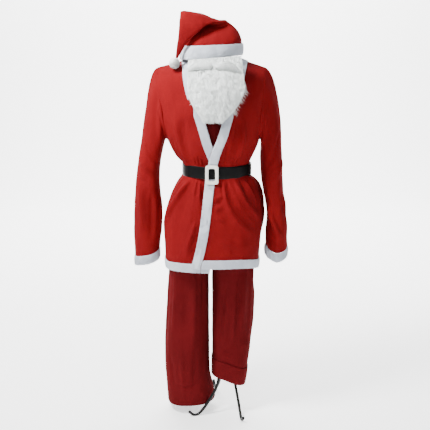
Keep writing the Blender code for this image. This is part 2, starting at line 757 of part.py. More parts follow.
TROUSER_FOLDS = table("a width depth low high lean",
                      (20, 13, 0.0100, 0.18, 0.72, 30),
                      (50, 12, -0.0070, 0.14, 0.74, 25),
                      (312, 13, 0.0110, 0.02, 0.70, -20),
                      (338, 10, -0.0070, 0.16, 0.72, -30),
                      (140, 14, 0.0090, 0.18, 0.72, 0),
                      (205, 14, 0.0100, 0.02, 0.70, 0),
                      (232, 12, -0.0070, 0.10, 0.70, 20))
GATHERS = 9
GATHER_DEEP = 1.6 * MM
trouser_red = material("trouser_red", DARK_RED, 0.8)


def trouser_row(side, face, z, shares):
    """Points from the outside (share 0) to the middle seam (share 1) of one leg's front or back."""
    t = LEG_LEFT if side > 0 else LEG_RIGHT
    outside = at(t, "outside", z)
    inside = at(t, "inside", z)
    seam = SEAM_X
    level = np.broadcast_to(np.asarray(z, float), shares.shape)
    turned = 180 * shares
    c = np.cos(np.radians(turned))
    s = np.sin(np.radians(turned))
    deep = at(t, "front" if face < 0 else "back", z)
    half = (outside + (inside if side < 0 else -inside) * (-1 if side < 0 else 1)) / 2
    middle = outside - half
    leg_x = side * (middle + half * np.sign(c) * np.abs(c) ** 0.85)
    leg_y = face * deep * np.abs(s) ** 0.85
    angle = side * 90 + shares * (angle_at(TROUSERS, level, seam) - side * 90)
    if face > 0:
        angle = 180 - angle
    body = ring(TROUSERS, level, angle)
    body_x = np.where(shares < 1, body[..., 0], seam)
    body_y = np.where(shares > 0, body[..., 1], 0)
    mix = 1 - ease(CROTCH, LEGS_JOIN, level)
    x = body_x * (1 - mix) + leg_x * mix
    y = body_y * (1 - mix) + leg_y * mix
    fold_angle = angle % 360
    lift = folded(TROUSER_FOLDS, fold_angle, level) * np.sin(np.radians(turned))
    lift = lift + GATHER_DEEP * np.cos(np.radians(fold_angle) * GATHERS) * ease(1.0, 1.08, level)
    y = y + face * lift * np.where((shares > 0.02) & (shares < 0.98) | (level > 0.9), 1, 0)
    return np.stack([x, y, level], axis=-1)


def leg_end(side, x):
    """Height of the leg's lower edge; both hems hang a little out of level."""
    if side > 0:
        return 0.144 - 0.42 * np.maximum(x - 0.025, 0)
    return 0.030 + 0.075 * np.maximum(x + 0.183, 0)


def trouser_panel(side, face, columns):
    shares = np.linspace(0, 1, columns)
    rows = [trouser_row(side, face, z, shares) for z in TROUSER_Z + LEG_Z]
    if side < 0:
        rows += [trouser_row(side, face, z, shares) for z in (0.145, 0.115, 0.085)]
    x_at = rows[-1][:, 0]
    end = leg_end(side, x_at)
    rows.append(trouser_row(side, face, end, shares))
    grid = np.array(rows)
    grid[:, 0, 1] = face * GAP / 2
    leg = grid[:, -1, 2] <= CROTCH + 1e-6
    grid[leg, -1, 1] = face * GAP / 2
    grid[~leg, -1, 0] = SEAM_X + side * GAP / 2
    at_crotch = np.abs(grid[:, -1, 2] - CROTCH) < 1e-6
    grid[at_crotch, -1, 0] = SEAM_X + side * GAP / 2
    n = normals_of(grid)
    centre = grid.mean(axis=1, keepdims=True).copy()
    centre[..., 1] = 0
    if (n * (grid - centre)).sum() < 0:
        n = -n
    n[1:-1, 1:-1] += 0.25 * (n[:-2, 1:-1] + n[2:, 1:-1] + n[1:-1, :-2] + n[1:-1, 2:])
    n[:, 0, 1] = 0
    n[leg, -1, 1] = 0
    n[~leg, -1, 0] = 0
    n[at_crotch, -1] = (0, 0, -1)
    n = unit(n)
    return grid, n


legs = {}
for side, side_name in ((1, "left"), (-1, "right")):
    for face, face_name in ((-1, "front"), (1, "back")):
        grid, n = trouser_panel(side, face, 9)
        inner = grid - n * TROUSER_CLOTH
        legs[side_name, face_name] = (grid, n)
        o, i = grid[::-1], inner[::-1]
        if side * face < 0:
            o, i = o[:, ::-1], i[:, ::-1]
        wall("trouser_%s_%s" % (side_name, face_name), o, i, trouser_red, slant=side * face)


def waistband():
    """The elastic casing above the gathers."""
    count = 36
    a = np.arange(count) * 360 / count
    rows = []
    for z, bulge in ((1.1134, 0.0), (1.126, 1.8), (1.143, 0.2)):
        wave = 0.8 * MM * np.cos(np.radians(a) * 9)
        p = ring(TROUSERS, z, a)
        out = np.stack([np.sin(np.radians(a)), -np.cos(np.radians(a)), 0 * a], -1)
        rows.append(p + out * (bulge * MM + wave)[:, None])
    grid = np.array(rows)
    n = normals_of(grid, closed=True)
    n[..., 2] = 0
    n = unit(n)
    wall("trouser_waistband", grid, grid - n * TROUSER_CLOTH, trouser_red, closed=True)


waistband()


def turn_up():
    """The left leg's hem, folded up outside the leg."""
    shares = np.linspace(0, 1, 9)
    rows_low = []
    for share in (0.0, 0.12, 0.5, 0.88, 1.0):
        loop = []
        for face, s in ((-1, shares), (1, shares[::-1][1:-1])):
            base = trouser_row(1, face, 0.160, s)
            z = leg_end(1, base[:, 0]) + 0.068 * share
            loop.append(trouser_row(1, face, z, s))
        rows_low.append(np.concatenate(loop))
    grid = np.array(rows_low)[:, ::-1]
    n = normals_of(grid, closed=True)
    n[..., 2] = 0
    n = unit(n)
    if (n * (grid - grid.mean(axis=1, keepdims=True))).sum() < 0:
        n = -n
    facing_other_leg = ease(-0.1, 0.9, -n[..., :1])
    puff = np.array([0.5, 2.4, 3.0, 2.4, 0.5])[:, None, None] * MM * (1 - facing_other_leg)
    low = grid + n * 2.0 * MM
    high = low + n * (TROUSER_CLOTH + puff)
    wall("turn_up_left", high, low, trouser_red, closed=True)


turn_up()


# Hat: a long cone whose upper part falls forward over its own front

HAT = table("z left right level left_z right_z deep turn dip",
            (0, -0.122, 0.095, 0.000, 1.330, 1.347, 0.084, 0, 0.000),
            (1, -0.113, 0.096, 0.000, 1.377, 1.385, 0.082, 0, 0.000),
            (2, -0.111, 0.094, -0.002, 1.405, 1.410, 0.074, 5, 0.000),
            (3, -0.113, 0.078, -0.002, 1.438, 1.434, 0.048, 10, 0.000),
            (4, -0.115, 0.060, -0.008, 1.466, 1.448, 0.022, 20, 0.003),
            (5, -0.117, 0.044, -0.022, 1.490, 1.464, 0.013, 50, 0.015),
            (6, -0.118, 0.018, -0.042, 1.497, 1.463, 0.010, 90, 0.010),
            (7, -0.119, -0.014, -0.062, 1.490, 1.458, 0.009, 125, 0.000),
            (8, -0.122, -0.042, -0.075, 1.460, 1.438, 0.009, 152, 0.000),
            (9, -0.126, -0.066, -0.075, 1.428, 1.418, 0.008, 172, 0.000),
            (10, -0.131, -0.095, -0.066, 1.394, 1.390, 0.007, 180, 0.000),
            (11, -0.135, -0.116, -0.057, 1.362, 1.360, 0.006, 185, 0.000),
            (12, -0.139, -0.129, -0.052, 1.337, 1.335, 0.005, 185, 0.000))
HAT_ROWS = (0, 1, 2, 3, 4, 5, 6, 7, 8, 9, 10, 11, 12)
DIP_X = 0.006
DIP_WIDTH = 0.020


def hat_loop(k, a):
    """The hat's loop at step k; a is 0 on the cone's front, 90 at +X."""
    xl, xr = at(HAT, "left", k), at(HAT, "right", k)
    zl, zr = at(HAT, "left_z", k), at(HAT, "right_z", k)
    y = at(HAT, "level", k)
    turn = math.radians(float(at(HAT, "turn", k)))
    front = np.array([0.0, -math.cos(turn), -math.sin(turn)])
    low = np.array([float(xl), float(y), float(zl)])
    high = np.array([float(xr), float(y), float(zr)])
    s = np.sin(np.radians(a))
    c = np.cos(np.radians(a))
    power = 2 / 2.2
    along = (low + high) / 2 + np.outer(np.sign(s) * np.abs(s) ** power, (high - low) / 2)
    along[:, 2] -= float(at(HAT, "dip", k)) * np.exp(-((along[:, 0] - DIP_X) / DIP_WIDTH) ** 2)
    return along + np.outer(np.sign(c) * np.abs(c) ** power * float(at(HAT, "deep", k)), front)


hat_angles = np.arange(24) * 15.0
hat_outer = np.array([hat_loop(k, hat_angles) for k in HAT_ROWS])
hat_n = normals_of(hat_outer, closed=True)
hat_n[0, :, 2] = 0
hat_n = unit(hat_n)
hat_inner = hat_outer - hat_n * CLOTH
o, i = shifted(hat_outer, hat_inner, list(range(18, 24)) + list(range(0, 7)))
wall("hat_front", o, i, cloth_red)
o, i = shifted(hat_outer, hat_inner, list(range(6, 19)))
wall("hat_back", o, i, cloth_red)


def hat_band():
    rows_low = []
    rows_high = []
    for k, puff in ((0.0, 1.0), (0.3, 3.4), (0.7, 3.4), (1.0, 1.0)):
        p = hat_loop(k, hat_angles)
        out = p - p.mean(axis=0)
        out[:, 2] = 0
        out = unit(out)
        rows_low.append(p + out * 0.9 * MM)
        rows_high.append(p + out * (0.9 + 2.0 + puff) * MM)
    wall("hat_band", np.array(rows_high), np.array(rows_low), plush_white, closed=True)


hat_band()

POMPOM_AT = np.array([-0.1412, -0.0552, 1.3190])
POMPOM_CORE = 0.0125
POMPOM_REACH = 0.0205


def pompom():
    """A round core with a three-sided lock on each face."""
    bm = bmesh.new()
    bmesh.ops.create_icosphere(bm, subdivisions=2, radius=POMPOM_CORE)
    points = [np.array(v.co) for v in bm.verts]
    faces = []
    for k, f in enumerate(bm.faces):
        corners = [v.index for v in f.verts]
        middle = unit(np.mean([points[c] for c in corners], axis=0))
        reach = POMPOM_REACH * (0.92 + 0.08 * math.sin(2.4 * k))
        points.append(middle * reach)
        tip = len(points) - 1
        for c in range(3):
            faces.append((corners[c], corners[(c + 1) % 3], tip))
    bm.free()
    solid("hat_pompom", [p + POMPOM_AT for p in points], faces, plush_white)


pompom()


# Beard and moustache

beard_white = material("beard_white", (0.84, 0.85, 0.83), 0.95)
BEARD = table("z left right front",
              (1.120, 0.018, 0.044, 0.152),
              (1.150, 0.048, 0.058, 0.158),
              (1.180, 0.080, 0.074, 0.160),
              (1.210, 0.106, 0.086, 0.158),
              (1.240, 0.112, 0.093, 0.150),
              (1.270, 0.100, 0.095, 0.138),
              (1.300, 0.094, 0.095, 0.120),
              (1.340, 0.090, 0.092, 0.0935))
BEARD_THICK = 9.0 * MM
BEARD_COLS = 13
BEARD_Z = (1.340, 1.314, 1.292, 1.269, 1.245, 1.221, 1.196, 1.171, 1.146, 1.122)


def beard_face(x, z):
    """Front of the beard at x and z."""
    return -at(BEARD, "front", z) * (1 - (np.abs(x) / 0.205) ** 2) ** 0.5


def hat_edge(x):
    """Height of the hat band's lower edge."""
    low = [at(HAT, name, 0.0) for name in ("left", "right", "left_z", "right_z")]
    return low[2] + (x - low[0]) / (low[1] - low[0]) * (low[3] - low[2])


def beard():
    """A curved pad whose front and edge are thick four-sided locks."""
    q = np.linspace(-1, 1, BEARD_COLS)
    rows = []
    for k, z in enumerate(BEARD_Z):
        x = np.where(q >= 0, q * at(BEARD, "left", z), q * at(BEARD, "right", z))
        tuck = 6 * MM * np.abs(q) ** 3
        level = z + 3 * MM * np.sin(2.1 * np.arange(BEARD_COLS)) * (k / (len(BEARD_Z) - 1))
        if k == 0:
            level = hat_edge(x) - 2 * GAP
        rows.append(np.stack([x, beard_face(x, z) + tuck, level], -1))
    grid = np.array(rows)[::-1]
    n = normals_of(grid)
    inner = grid + np.array([0.0, BEARD_THICK, 0.0])
    rows_n, cols = grid.shape[:2]
    points = list(grid.reshape(-1, 3)) + list(inner.reshape(-1, 3))
    base = rows_n * cols
    faces = []
    for i in range(rows_n - 1):
        for j in range(cols - 1):
            a, b, c, d = i * cols + j, i * cols + j + 1, (i + 1) * cols + j + 1, (i + 1) * cols + j
            middle = (points[a] + points[b] + points[c] + points[d]) / 4
            out = unit(n[i, j] + n[i, j + 1] + n[i + 1, j + 1] + n[i + 1, j])
            fall = (points[a] + points[b] - points[c] - points[d]) / 2
            reach = 6.5 * MM if i < rows_n - 3 else 4.0 * MM
            points.append(middle + out * reach * (1 + 0.25 * math.sin(3.1 * j + 1.7 * i)) + fall * 0.3)
            tip = len(points) - 1
            for u, v in ((a, b), (b, c), (c, d), (d, a)):
                faces.append((u, v, tip))
            faces.append((base + c, base + b, base + a))
            faces.append((base + d, base + c, base + a))
    for j in range(cols - 1):
        top = (rows_n - 1) * cols
        faces += [(base + j, base + j + 1, j + 1), (base + j, j + 1, j)]
        faces += [(top + j, top + j + 1, base + top + j + 1), (top + j, base + top + j + 1, base + top + j)]
    for i in range(rows_n - 1):
        a, d = i * cols, (i + 1) * cols
        faces += [(base + a, a, d), (base + a, d, base + d)]
        e, h = a + cols - 1, d + cols - 1
        faces += [(e, base + e, base + h), (e, base + h, h)]
    solid("beard", points, faces, beard_white)


beard()

MOUSTACHE = table("z x height thick",
                  (0.00, 0.0025, 1.3100, 0.0060),
                  (0.15, 0.0150, 1.3110, 0.0100),
                  (0.35, 0.0330, 1.3140, 0.0125),
                  (0.55, 0.0520, 1.3130, 0.0120),
                  (0.75, 0.0690, 1.3080, 0.0090),
                  (0.90, 0.0800, 1.3010, 0.0055),
                  (1.00, 0.0860, 1.2960, 0.0025))


def moustache(side, name, middle=-0.005):
    """One half, a curled tuft lying on the beard."""
    turn = np.radians(np.arange(10) * 36.0)
    rows = []
    for share in np.linspace(0, 1, 10):
        x = middle + side * float(at(MOUSTACHE, "x", share))
        z = float(at(MOUSTACHE, "height", share))
        r = float(at(MOUSTACHE, "thick", share))
        y = float(beard_face(np.array(x), np.array(z))) - 7.0 * MM - r * 0.8
        ripple = 1 + 0.10 * np.sin(3 * turn + 4 * share)
        rows.append(np.stack([np.full(10, x), y + 0.8 * r * ripple * np.cos(turn) * -1,
                              z + r * ripple * np.sin(turn)], -1))
    grid = np.array(rows)
    if side < 0:
        grid = grid[:, ::-1]
    capped("moustache_%s" % name, grid[:, ::-1], beard_white)


moustache(1, "left")
moustache(-1, "right")


# Dress form

FORM = table("z left right front back square",
             (0.758, 0.105, 0.108, 0.076, 0.074, 2.2),
             (0.765, 0.122, 0.125, 0.090, 0.086, 2.2),
             (0.800, 0.136, 0.136, 0.104, 0.096, 2.2),
             (0.850, 0.136, 0.128, 0.104, 0.092, 2.2),
             (0.900, 0.124, 0.112, 0.098, 0.084, 2.2),
             (0.918, 0.1195, 0.1105, 0.0975, 0.0845, 2.3),
             (0.962, 0.1185, 0.1095, 0.0975, 0.0845, 2.3),
             (1.020, 0.126, 0.130, 0.102, 0.086, 2.3),
             (1.090, 0.136, 0.142, 0.107, 0.089, 2.3),
             (1.150, 0.143, 0.150, 0.111, 0.092, 2.3),
             (1.210, 0.150, 0.168, 0.106, 0.093, 2.3),
             (1.255, 0.158, 0.184, 0.090, 0.086, 2.3),
             (1.285, 0.160, 0.188, 0.066, 0.066, 2.2),
             (1.303, 0.148, 0.175, 0.042, 0.040, 2.0),
             (1.315, 0.112, 0.130, 0.036, 0.030, 2.0),
             (1.322, 0.080, 0.086, 0.036, 0.030, 2.0),
             (1.330, 0.058, 0.062, 0.040, 0.034, 2.0),
             (1.365, 0.053, 0.057, 0.042, 0.038, 2.0),
             (1.380, 0.053, 0.057, 0.042, 0.038, 2.0))
FORM_Z = (0.758, 0.765, 0.800, 0.850, 0.900, 0.918, 0.962, 1.030, 1.110, 1.180, 1.235,
          1.270, 1.295, 1.310, 1.322, 1.330, 1.380)
form_cloth = material("form_cloth", (0.60, 0.55, 0.47), 0.85)
form_wood = material("form_wood", (0.16, 0.07, 0.03), 0.4)
iron_black = material("iron_black", (0.015, 0.015, 0.016), 0.45, 0.8)
form_angles = np.arange(20) * 18.0
capped("form_torso", np.array([ring(FORM, z, form_angles) for z in FORM_Z]), form_cloth)

NECK_X = -0.002
FINIAL = table("z radius",
               (1.3803, 0.0000), (1.3803, 0.0400), (1.3880, 0.0400), (1.3920, 0.0280), (1.4000, 0.0110),
               (1.4140, 0.0110), (1.4220, 0.0180), (1.4330, 0.0210), (1.4450, 0.0150), (1.4530, 0.0060),
               (1.4637, 0.0000))


def turned(name, profile, x, y, steps, mat):
    """A turned piece: its profile from top to bottom, spun round its axis."""
    mesh = bpy.data.meshes.new(name)
    points = [(r, 0.0, z) for z, r in zip(profile["z"][::-1], profile["radius"][::-1])]
    edges = [(k, k + 1) for k in range(len(points) - 1)]
    if points[0] == points[-1]:
        points.pop()
        edges[-1] = (len(points) - 1, 0)
    mesh.from_pydata(points, edges, [])
    ob = bpy.data.objects.new(name, mesh)
    ob.location = (x, y, 0)
    screw = ob.modifiers.new("turn", "SCREW")
    screw.steps = steps
    screw.render_steps = steps
    screw.use_merge_vertices = True
    screw.merge_threshold = 0.00001
    ob.data.materials.append(mat)
    part.objects.link(ob)
    return ob


turned("form_finial", FINIAL, NECK_X, 0.0, 16, form_wood)

POLE_AT = (0.030, -0.004)
POLE_RADIUS = 0.008
POLE_FOOT = 0.150
HUB_RADIUS = 0.0135
HUB_FOOT = 0.165
HUB_TOP = 0.210
FORM_FOOT = 0.758


def pole():
    bm = bmesh.new()
    top = FORM_FOOT - GAP
    bmesh.ops.create_cone(bm, cap_ends=True, segments=16, radius1=POLE_RADIUS, radius2=POLE_RADIUS,
                          depth=top - POLE_FOOT)
    mesh = bpy.data.meshes.new("stand_pole")
    bm.to_mesh(mesh)
    bm.free()
    ob = bpy.data.objects.new("stand_pole", mesh)
    ob.location = (*POLE_AT, (top + POLE_FOOT) / 2)
    ob.data.materials.append(iron_black)
    part.objects.link(ob)


pole()
turned("stand_hub", table("z radius",
                          (HUB_FOOT, POLE_RADIUS + GAP), (HUB_FOOT, HUB_RADIUS), (HUB_TOP, HUB_RADIUS),
                          (HUB_TOP, POLE_RADIUS + GAP), (HUB_FOOT, POLE_RADIUS + GAP)),
       POLE_AT[0], POLE_AT[1], 16, iron_black)

LEG_PATH = table("z lead lag curl height",
                 (0.00, 0.00, 0.00, 0.000, 0.1950), (0.06, 0.08, 0.02, 0.000, 0.1950),
                 (0.18, 0.30, 0.07, 0.000, 0.1680), (0.30, 0.48, 0.12, 0.000, 0.1350),
                 (0.42, 0.62, 0.22, 0.000, 0.1000), (0.54, 0.75, 0.42, 0.000, 0.0650),
                 (0.66, 0.87, 0.64, 0.000, 0.0320), (0.74, 0.93, 0.80, 0.000, 0.0130),
                 (0.80, 0.97, 0.91, 0.000, 0.0036), (0.91, 1.00, 1.00, 0.004, 0.0036),
                 (0.95, 1.00, 1.00, 0.011, 0.0070), (0.98, 1.00, 1.00, 0.019, 0.0140),
                 (1.00, 1.00, 1.00, 0.024, 0.0210))
FEET = {"left": ((0.100, -0.125), ("lead", "lag"), (0.25, -1.0)),
        "right": ((-0.075, -0.088), ("lag", "lead"), (-1.0, -0.3)),
        "back": ((0.000, 0.170), ("lag", "lag"), (-0.25, 1.0))}
ROD = 4.6 * MM


def leg(name):
    """A bent rod from the hub to the floor, with its end turned up; its foot is filed flat."""
    foot, (x_share, y_share), curl = FEET[name]
    curl = unit(np.array(curl))
    reach = np.array(foot) - POLE_AT
    first = unit(reach * (at(LEG_PATH, x_share, 0.1), at(LEG_PATH, y_share, 0.1)))
    start = first * (HUB_RADIUS + 2 * GAP)
    count = 22
    share = np.linspace(0, 1, count)
    x = start[0] + at(LEG_PATH, x_share, share) * (reach[0] - start[0]) + curl[0] * at(LEG_PATH, "curl", share)
    y = start[1] + at(LEG_PATH, y_share, share) * (reach[1] - start[1]) + curl[1] * at(LEG_PATH, "curl", share)
    z = at(LEG_PATH, "height", share)
    path = np.stack([POLE_AT[0] + x, POLE_AT[1] + y, z], -1)
    spline_points(name, path)


def spline_points(name, path):
    """A rod along the path, then its underside flattened where it meets the floor."""
    curve = bpy.data.curves.new(name, "CURVE")
    curve.dimensions = "3D"
    curve.twist_mode = "Z_UP"
    curve.bevel_depth = ROD
    curve.bevel_resolution = 1
    curve.use_fill_caps = True
    spline = curve.splines.new("POLY")
    spline.points.add(len(path) - 1)
    for point, place in zip(spline.points, path):
        point.co = (*place, 1)
    bent = bpy.data.objects.new("bent", curve)
    bpy.context.scene.collection.objects.link(bent)
    mesh = bpy.data.meshes.new_from_object(bent.evaluated_get(bpy.context.evaluated_depsgraph_get()))
    bpy.data.objects.remove(bent, do_unlink=True)
    bm = bmesh.new()
    bm.from_mesh(mesh)
    bmesh.ops.remove_doubles(bm, verts=bm.verts, dist=0.00001)
    for v in bm.verts:
        v.co.z = max(v.co.z, 0.0)
    bm.to_mesh(mesh)
    bm.free()
    mesh.name = "stand_leg_" + name
    ob = bpy.data.objects.new("stand_leg_" + name, mesh)
    ob.data.materials.clear()
    ob.data.materials.append(iron_black)
    part.objects.link(ob)
    mesh.shade_smooth()


for name in FEET:
    leg(name)

# The origin is the middle of the box that holds everything, on the floor
bpy.context.view_layer.update()
corners = []
for ob in part.objects:
    shown = ob.evaluated_get(bpy.context.evaluated_depsgraph_get())
    corners += [ob.matrix_world @ v.co for v in shown.data.vertices]
corners = np.array(corners)
middle = (corners.min(axis=0) + corners.max(axis=0)) / 2
for ob in part.objects:
    ob.location.x -= middle[0]
    ob.location.y -= middle[1]
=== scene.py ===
# The looks of the santa suit on its dress form: cloth with creases, plush, hair, belt and stand.
# Row frame, metres: +Z up, the suit faces -Y, +X is the wearer's left.
import math

import bmesh
import bpy
import numpy as np
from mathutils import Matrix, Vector
from mathutils.bvhtree import BVHTree
from mathutils.kdtree import KDTree


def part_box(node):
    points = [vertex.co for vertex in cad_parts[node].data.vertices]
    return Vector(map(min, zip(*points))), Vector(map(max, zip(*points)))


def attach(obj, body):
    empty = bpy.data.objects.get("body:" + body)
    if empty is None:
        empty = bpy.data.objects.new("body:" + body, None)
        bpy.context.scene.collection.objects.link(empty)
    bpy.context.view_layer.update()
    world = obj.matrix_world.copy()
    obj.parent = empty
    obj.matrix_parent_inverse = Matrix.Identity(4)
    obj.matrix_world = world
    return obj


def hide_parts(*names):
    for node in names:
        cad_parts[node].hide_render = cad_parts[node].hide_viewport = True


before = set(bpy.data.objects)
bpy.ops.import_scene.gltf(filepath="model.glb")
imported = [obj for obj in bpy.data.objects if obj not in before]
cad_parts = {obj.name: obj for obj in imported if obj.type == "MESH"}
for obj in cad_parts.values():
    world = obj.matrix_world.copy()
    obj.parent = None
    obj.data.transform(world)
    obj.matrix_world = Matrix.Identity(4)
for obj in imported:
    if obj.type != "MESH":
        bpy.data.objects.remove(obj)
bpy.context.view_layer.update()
MM = 0.001
TURN = 6.28  # a full turn of the hair's waves, in radians
rng = np.random.default_rng(25)

# The tables below are in the suit's own frame, whose middle is the dress form's axis
pole_low, pole_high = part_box("stand_pole")
MID = np.array([(pole_low.x + pole_high.x) / 2 - 0.030, (pole_low.y + pole_high.y) / 2 + 0.004, 0.0])


# Camera: in front of the suit at eye height, looking a little down
EYE_HEIGHT = 1.45
EYE_DISTANCE = 3.0
LOOKS_DOWN = 12.898  # degrees
SENSOR_MM = 36.0
FOCAL_PX = 830.9  # the focal length, in pixels of a picture that is PICTURE_PX wide
PICTURE_PX = 430.0


def make_camera():
    data = bpy.data.cameras.new("camera")
    data.sensor_fit = "HORIZONTAL"
    data.sensor_width = SENSOR_MM
    data.lens = SENSOR_MM * FOCAL_PX / PICTURE_PX
    camera = bpy.data.objects.new("camera", data)
    camera.location = (MID[0], MID[1] - EYE_DISTANCE, EYE_HEIGHT)
    camera.rotation_euler = (math.radians(90.0 - LOOKS_DOWN), 0.0, 0.0)
    bpy.context.scene.collection.objects.link(camera)
    bpy.context.scene.camera = camera


# Floor and backdrop in one sweep: where the floor starts and ends, the curve's radius, the wall's top
FLOOR_START = -4.5
FLOOR_END = 3.4
SWEEP_RADIUS = 1.2
SWEEP_STEPS = 12
WALL_TOP = 5.0
FLOOR_HALF_WIDTH = 5.0


def area_light(name, place, aim, size, watts, colour=(1, 1, 1)):
    data = bpy.data.lights.new(name, "AREA")
    data.shape = "RECTANGLE"
    data.size = size[0]
    data.size_y = size[1]
    data.energy = watts
    data.color = colour
    ob = bpy.data.objects.new(name, data)
    ob.location = place
    ob.rotation_euler = (Vector(aim) - Vector(place)).to_track_quat("-Z", "Y").to_euler()
    bpy.context.scene.collection.objects.link(ob)


def make_studio():
    world = bpy.data.worlds.new("studio")
    bpy.context.scene.world = world
    world.use_nodes = True
    back = world.node_tree.nodes["Background"]
    back.inputs["Color"].default_value = (1.0, 1.0, 1.0, 1.0)
    back.inputs["Strength"].default_value = 0.16
    area_light("key", (-0.98, -0.70, 2.45), (0, 0, 1.2), (0.5, 0.5), 116, (1, 0.99, 0.98))
    area_light("fill", (2.4, -2.6, 1.5), (0, 0, 0.8), (1.8, 1.8), 14, (0.97, 0.98, 1))
    area_light("front", (-0.6, -2.4, 2.5), (0, 0, 1.35), (0.8, 0.6), 26)
    area_light("behind_left", (-2.2, 1.6, 1.6), (-0.5, 0.4, 0.5), (1.2, 1.2), 16)
    area_light("behind_right", (2.2, 1.6, 1.6), (0.5, 0.4, 0.5), (1.2, 1.2), 16)
    area_light("backdrop", (0, 2.6, 3.6), (0, 4.8, 0.6), (4, 1.2), 520)
    area_light("floor_light", (0, 2.2, 3.6), (0, 2, 0), (3.4, 1.6), 150)

    profile = [(FLOOR_START, 0.0), (FLOOR_END, 0.0)]
    for k in range(1, SWEEP_STEPS + 1):
        turn = math.radians(90.0 * k / SWEEP_STEPS)
        profile.append((FLOOR_END + SWEEP_RADIUS * math.sin(turn), SWEEP_RADIUS * (1 - math.cos(turn))))
    profile.append((FLOOR_END + SWEEP_RADIUS, WALL_TOP))
    verts = [(x, y, z) for x in (-FLOOR_HALF_WIDTH, FLOOR_HALF_WIDTH) for y, z in profile]
    n = len(profile)
    faces = [(k, k + 1, n + k + 1, n + k) for k in range(n - 1)]
    mesh = bpy.data.meshes.new("floor")
    mesh.from_pydata(verts, [], faces)
    mesh.shade_smooth()
    floor = bpy.data.objects.new("floor", mesh)
    bpy.context.scene.collection.objects.link(floor)
    m = bpy.data.materials.new("floor_white")
    m.use_nodes = True
    shader = m.node_tree.nodes["Principled BSDF"]
    shader.inputs["Base Color"].default_value = (0.93, 0.93, 0.93, 1)
    shader.inputs["Roughness"].default_value = 0.9
    shader.inputs["Emission Color"].default_value = (1.0, 1.0, 1.0, 1)
    shader.inputs["Emission Strength"].default_value = 1.10
    mesh.materials.append(m)


make_camera()
make_studio()


# Tables and noise

def rows(names, *values):
    names = names.split()
    return [dict(zip(names, v)) for v in values]


def at(table, name, key):
    """A column where the column z is key, by a curve that never overshoots its rows."""
    x = np.array([r["z"] for r in table])
    y = np.array([r[name] for r in table])
    key = np.clip(np.asarray(key, float), x[0], x[-1])
    step = np.diff(x)
    rise = np.diff(y) / step
    slope = np.zeros(len(x))
    slope[0], slope[-1] = rise[0], rise[-1]
    for k in range(1, len(x) - 1):
        if rise[k - 1] * rise[k] > 0:
            slope[k] = 2 * rise[k - 1] * rise[k] / (rise[k - 1] + rise[k])
    i = np.clip(np.searchsorted(x, key) - 1, 0, len(step) - 1)
    s = (key - x[i]) / step[i]
    return ((1 + 2 * s) * (1 - s) ** 2 * y[i] + s * (1 - s) ** 2 * step[i] * slope[i]
            + s * s * (3 - 2 * s) * y[i + 1] + s * s * (s - 1) * step[i] * slope[i + 1])


def ease(low, high, value):
    s = np.clip((value - low) / (high - low), 0, 1)
    return s * s * (3 - 2 * s)


def unit(v):
    return v / np.maximum(np.linalg.norm(v, axis=-1, keepdims=True), 1e-12)


def noise(p, scale, seed):
    """Smooth noise from -1 to 1; scale is its lumps per metre on each axis."""
    q = p * np.asarray(scale, float) + seed * 17.31
    cell = np.floor(q).astype(np.int64)
    f = q - cell
    f = f * f * (3 - 2 * f)
    total = np.zeros(len(p))
    for dx in (0, 1):
        for dy in (0, 1):
            for dz in (0, 1):
                # a number from -1 to 1 that is the same for the same corner of the cell
                h = (((cell[:, 0] + dx) * 73856093) ^ ((cell[:, 1] + dy) * 19349663)
                     ^ ((cell[:, 2] + dz) * 83492791))
                h = (h ^ (h >> 13)) * 1274126177
                h = ((h ^ (h >> 16)) & 0xFFFF) / 32767.5 - 1
                w = (np.where(dx, f[:, 0], 1 - f[:, 0]) * np.where(dy, f[:, 1], 1 - f[:, 1])
                     * np.where(dz, f[:, 2], 1 - f[:, 2]))
                total += w * h
    return total


def wrinkles(p, scale, seed):
    """Uneven ridges and hollows of two sizes."""
    scale = np.asarray(scale, float)
    warp = 0.02 * noise(p, 9, seed + 5)[:, None]
    return 0.65 * noise(p + warp, scale, seed) + 0.35 * noise(p + warp, scale * 2.3, seed + 1)


def swirl(p, scale, seed):
    """A direction that turns smoothly from place to place."""
    return np.stack([noise(p, scale, seed + k) for k in range(3)], -1)


# Materials

def colour_ramp(nt, low, high, low_at=0.3, high_at=0.7):
    ramp = nt.nodes.new("ShaderNodeValToRGB")
    ramp.color_ramp.elements[0].color = (*low, 1)
    ramp.color_ramp.elements[1].color = (*high, 1)
    ramp.color_ramp.elements[0].position = low_at
    ramp.color_ramp.elements[1].position = high_at
    return ramp


def stretched(nt, scale):
    """The object's own coordinates, stretched."""
    coords = nt.nodes.new("ShaderNodeTexCoord")
    mapping = nt.nodes.new("ShaderNodeMapping")
    mapping.inputs["Scale"].default_value = scale
    nt.links.new(coords.outputs["Object"], mapping.inputs["Vector"])
    return mapping.outputs["Vector"]


def noise_node(nt, vector, scale, detail):
    n = nt.nodes.new("ShaderNodeTexNoise")
    n.inputs["Scale"].default_value = scale
    n.inputs["Detail"].default_value = detail
    n.inputs["Roughness"].default_value = 0.55
    nt.links.new(vector, n.inputs["Vector"])
    return n.outputs["Fac"]


def bumped(nt, height, distance, strength, before=None):
    b = nt.nodes.new("ShaderNodeBump")
    b.inputs["Distance"].default_value = distance
    b.inputs["Strength"].default_value = strength
    nt.links.new(height, b.inputs["Height"])
    if before is not None:
        nt.links.new(before, b.inputs["Normal"])
    return b.outputs["Normal"]


def mixed(nt, a, b, share):
    m = nt.nodes.new("ShaderNodeMix")
    m.data_type = "RGBA"
    m.blend_type = "MULTIPLY"
    m.inputs[0].default_value = share
    nt.links.new(a, m.inputs[6])
    nt.links.new(b, m.inputs[7])
    return m.outputs[2]


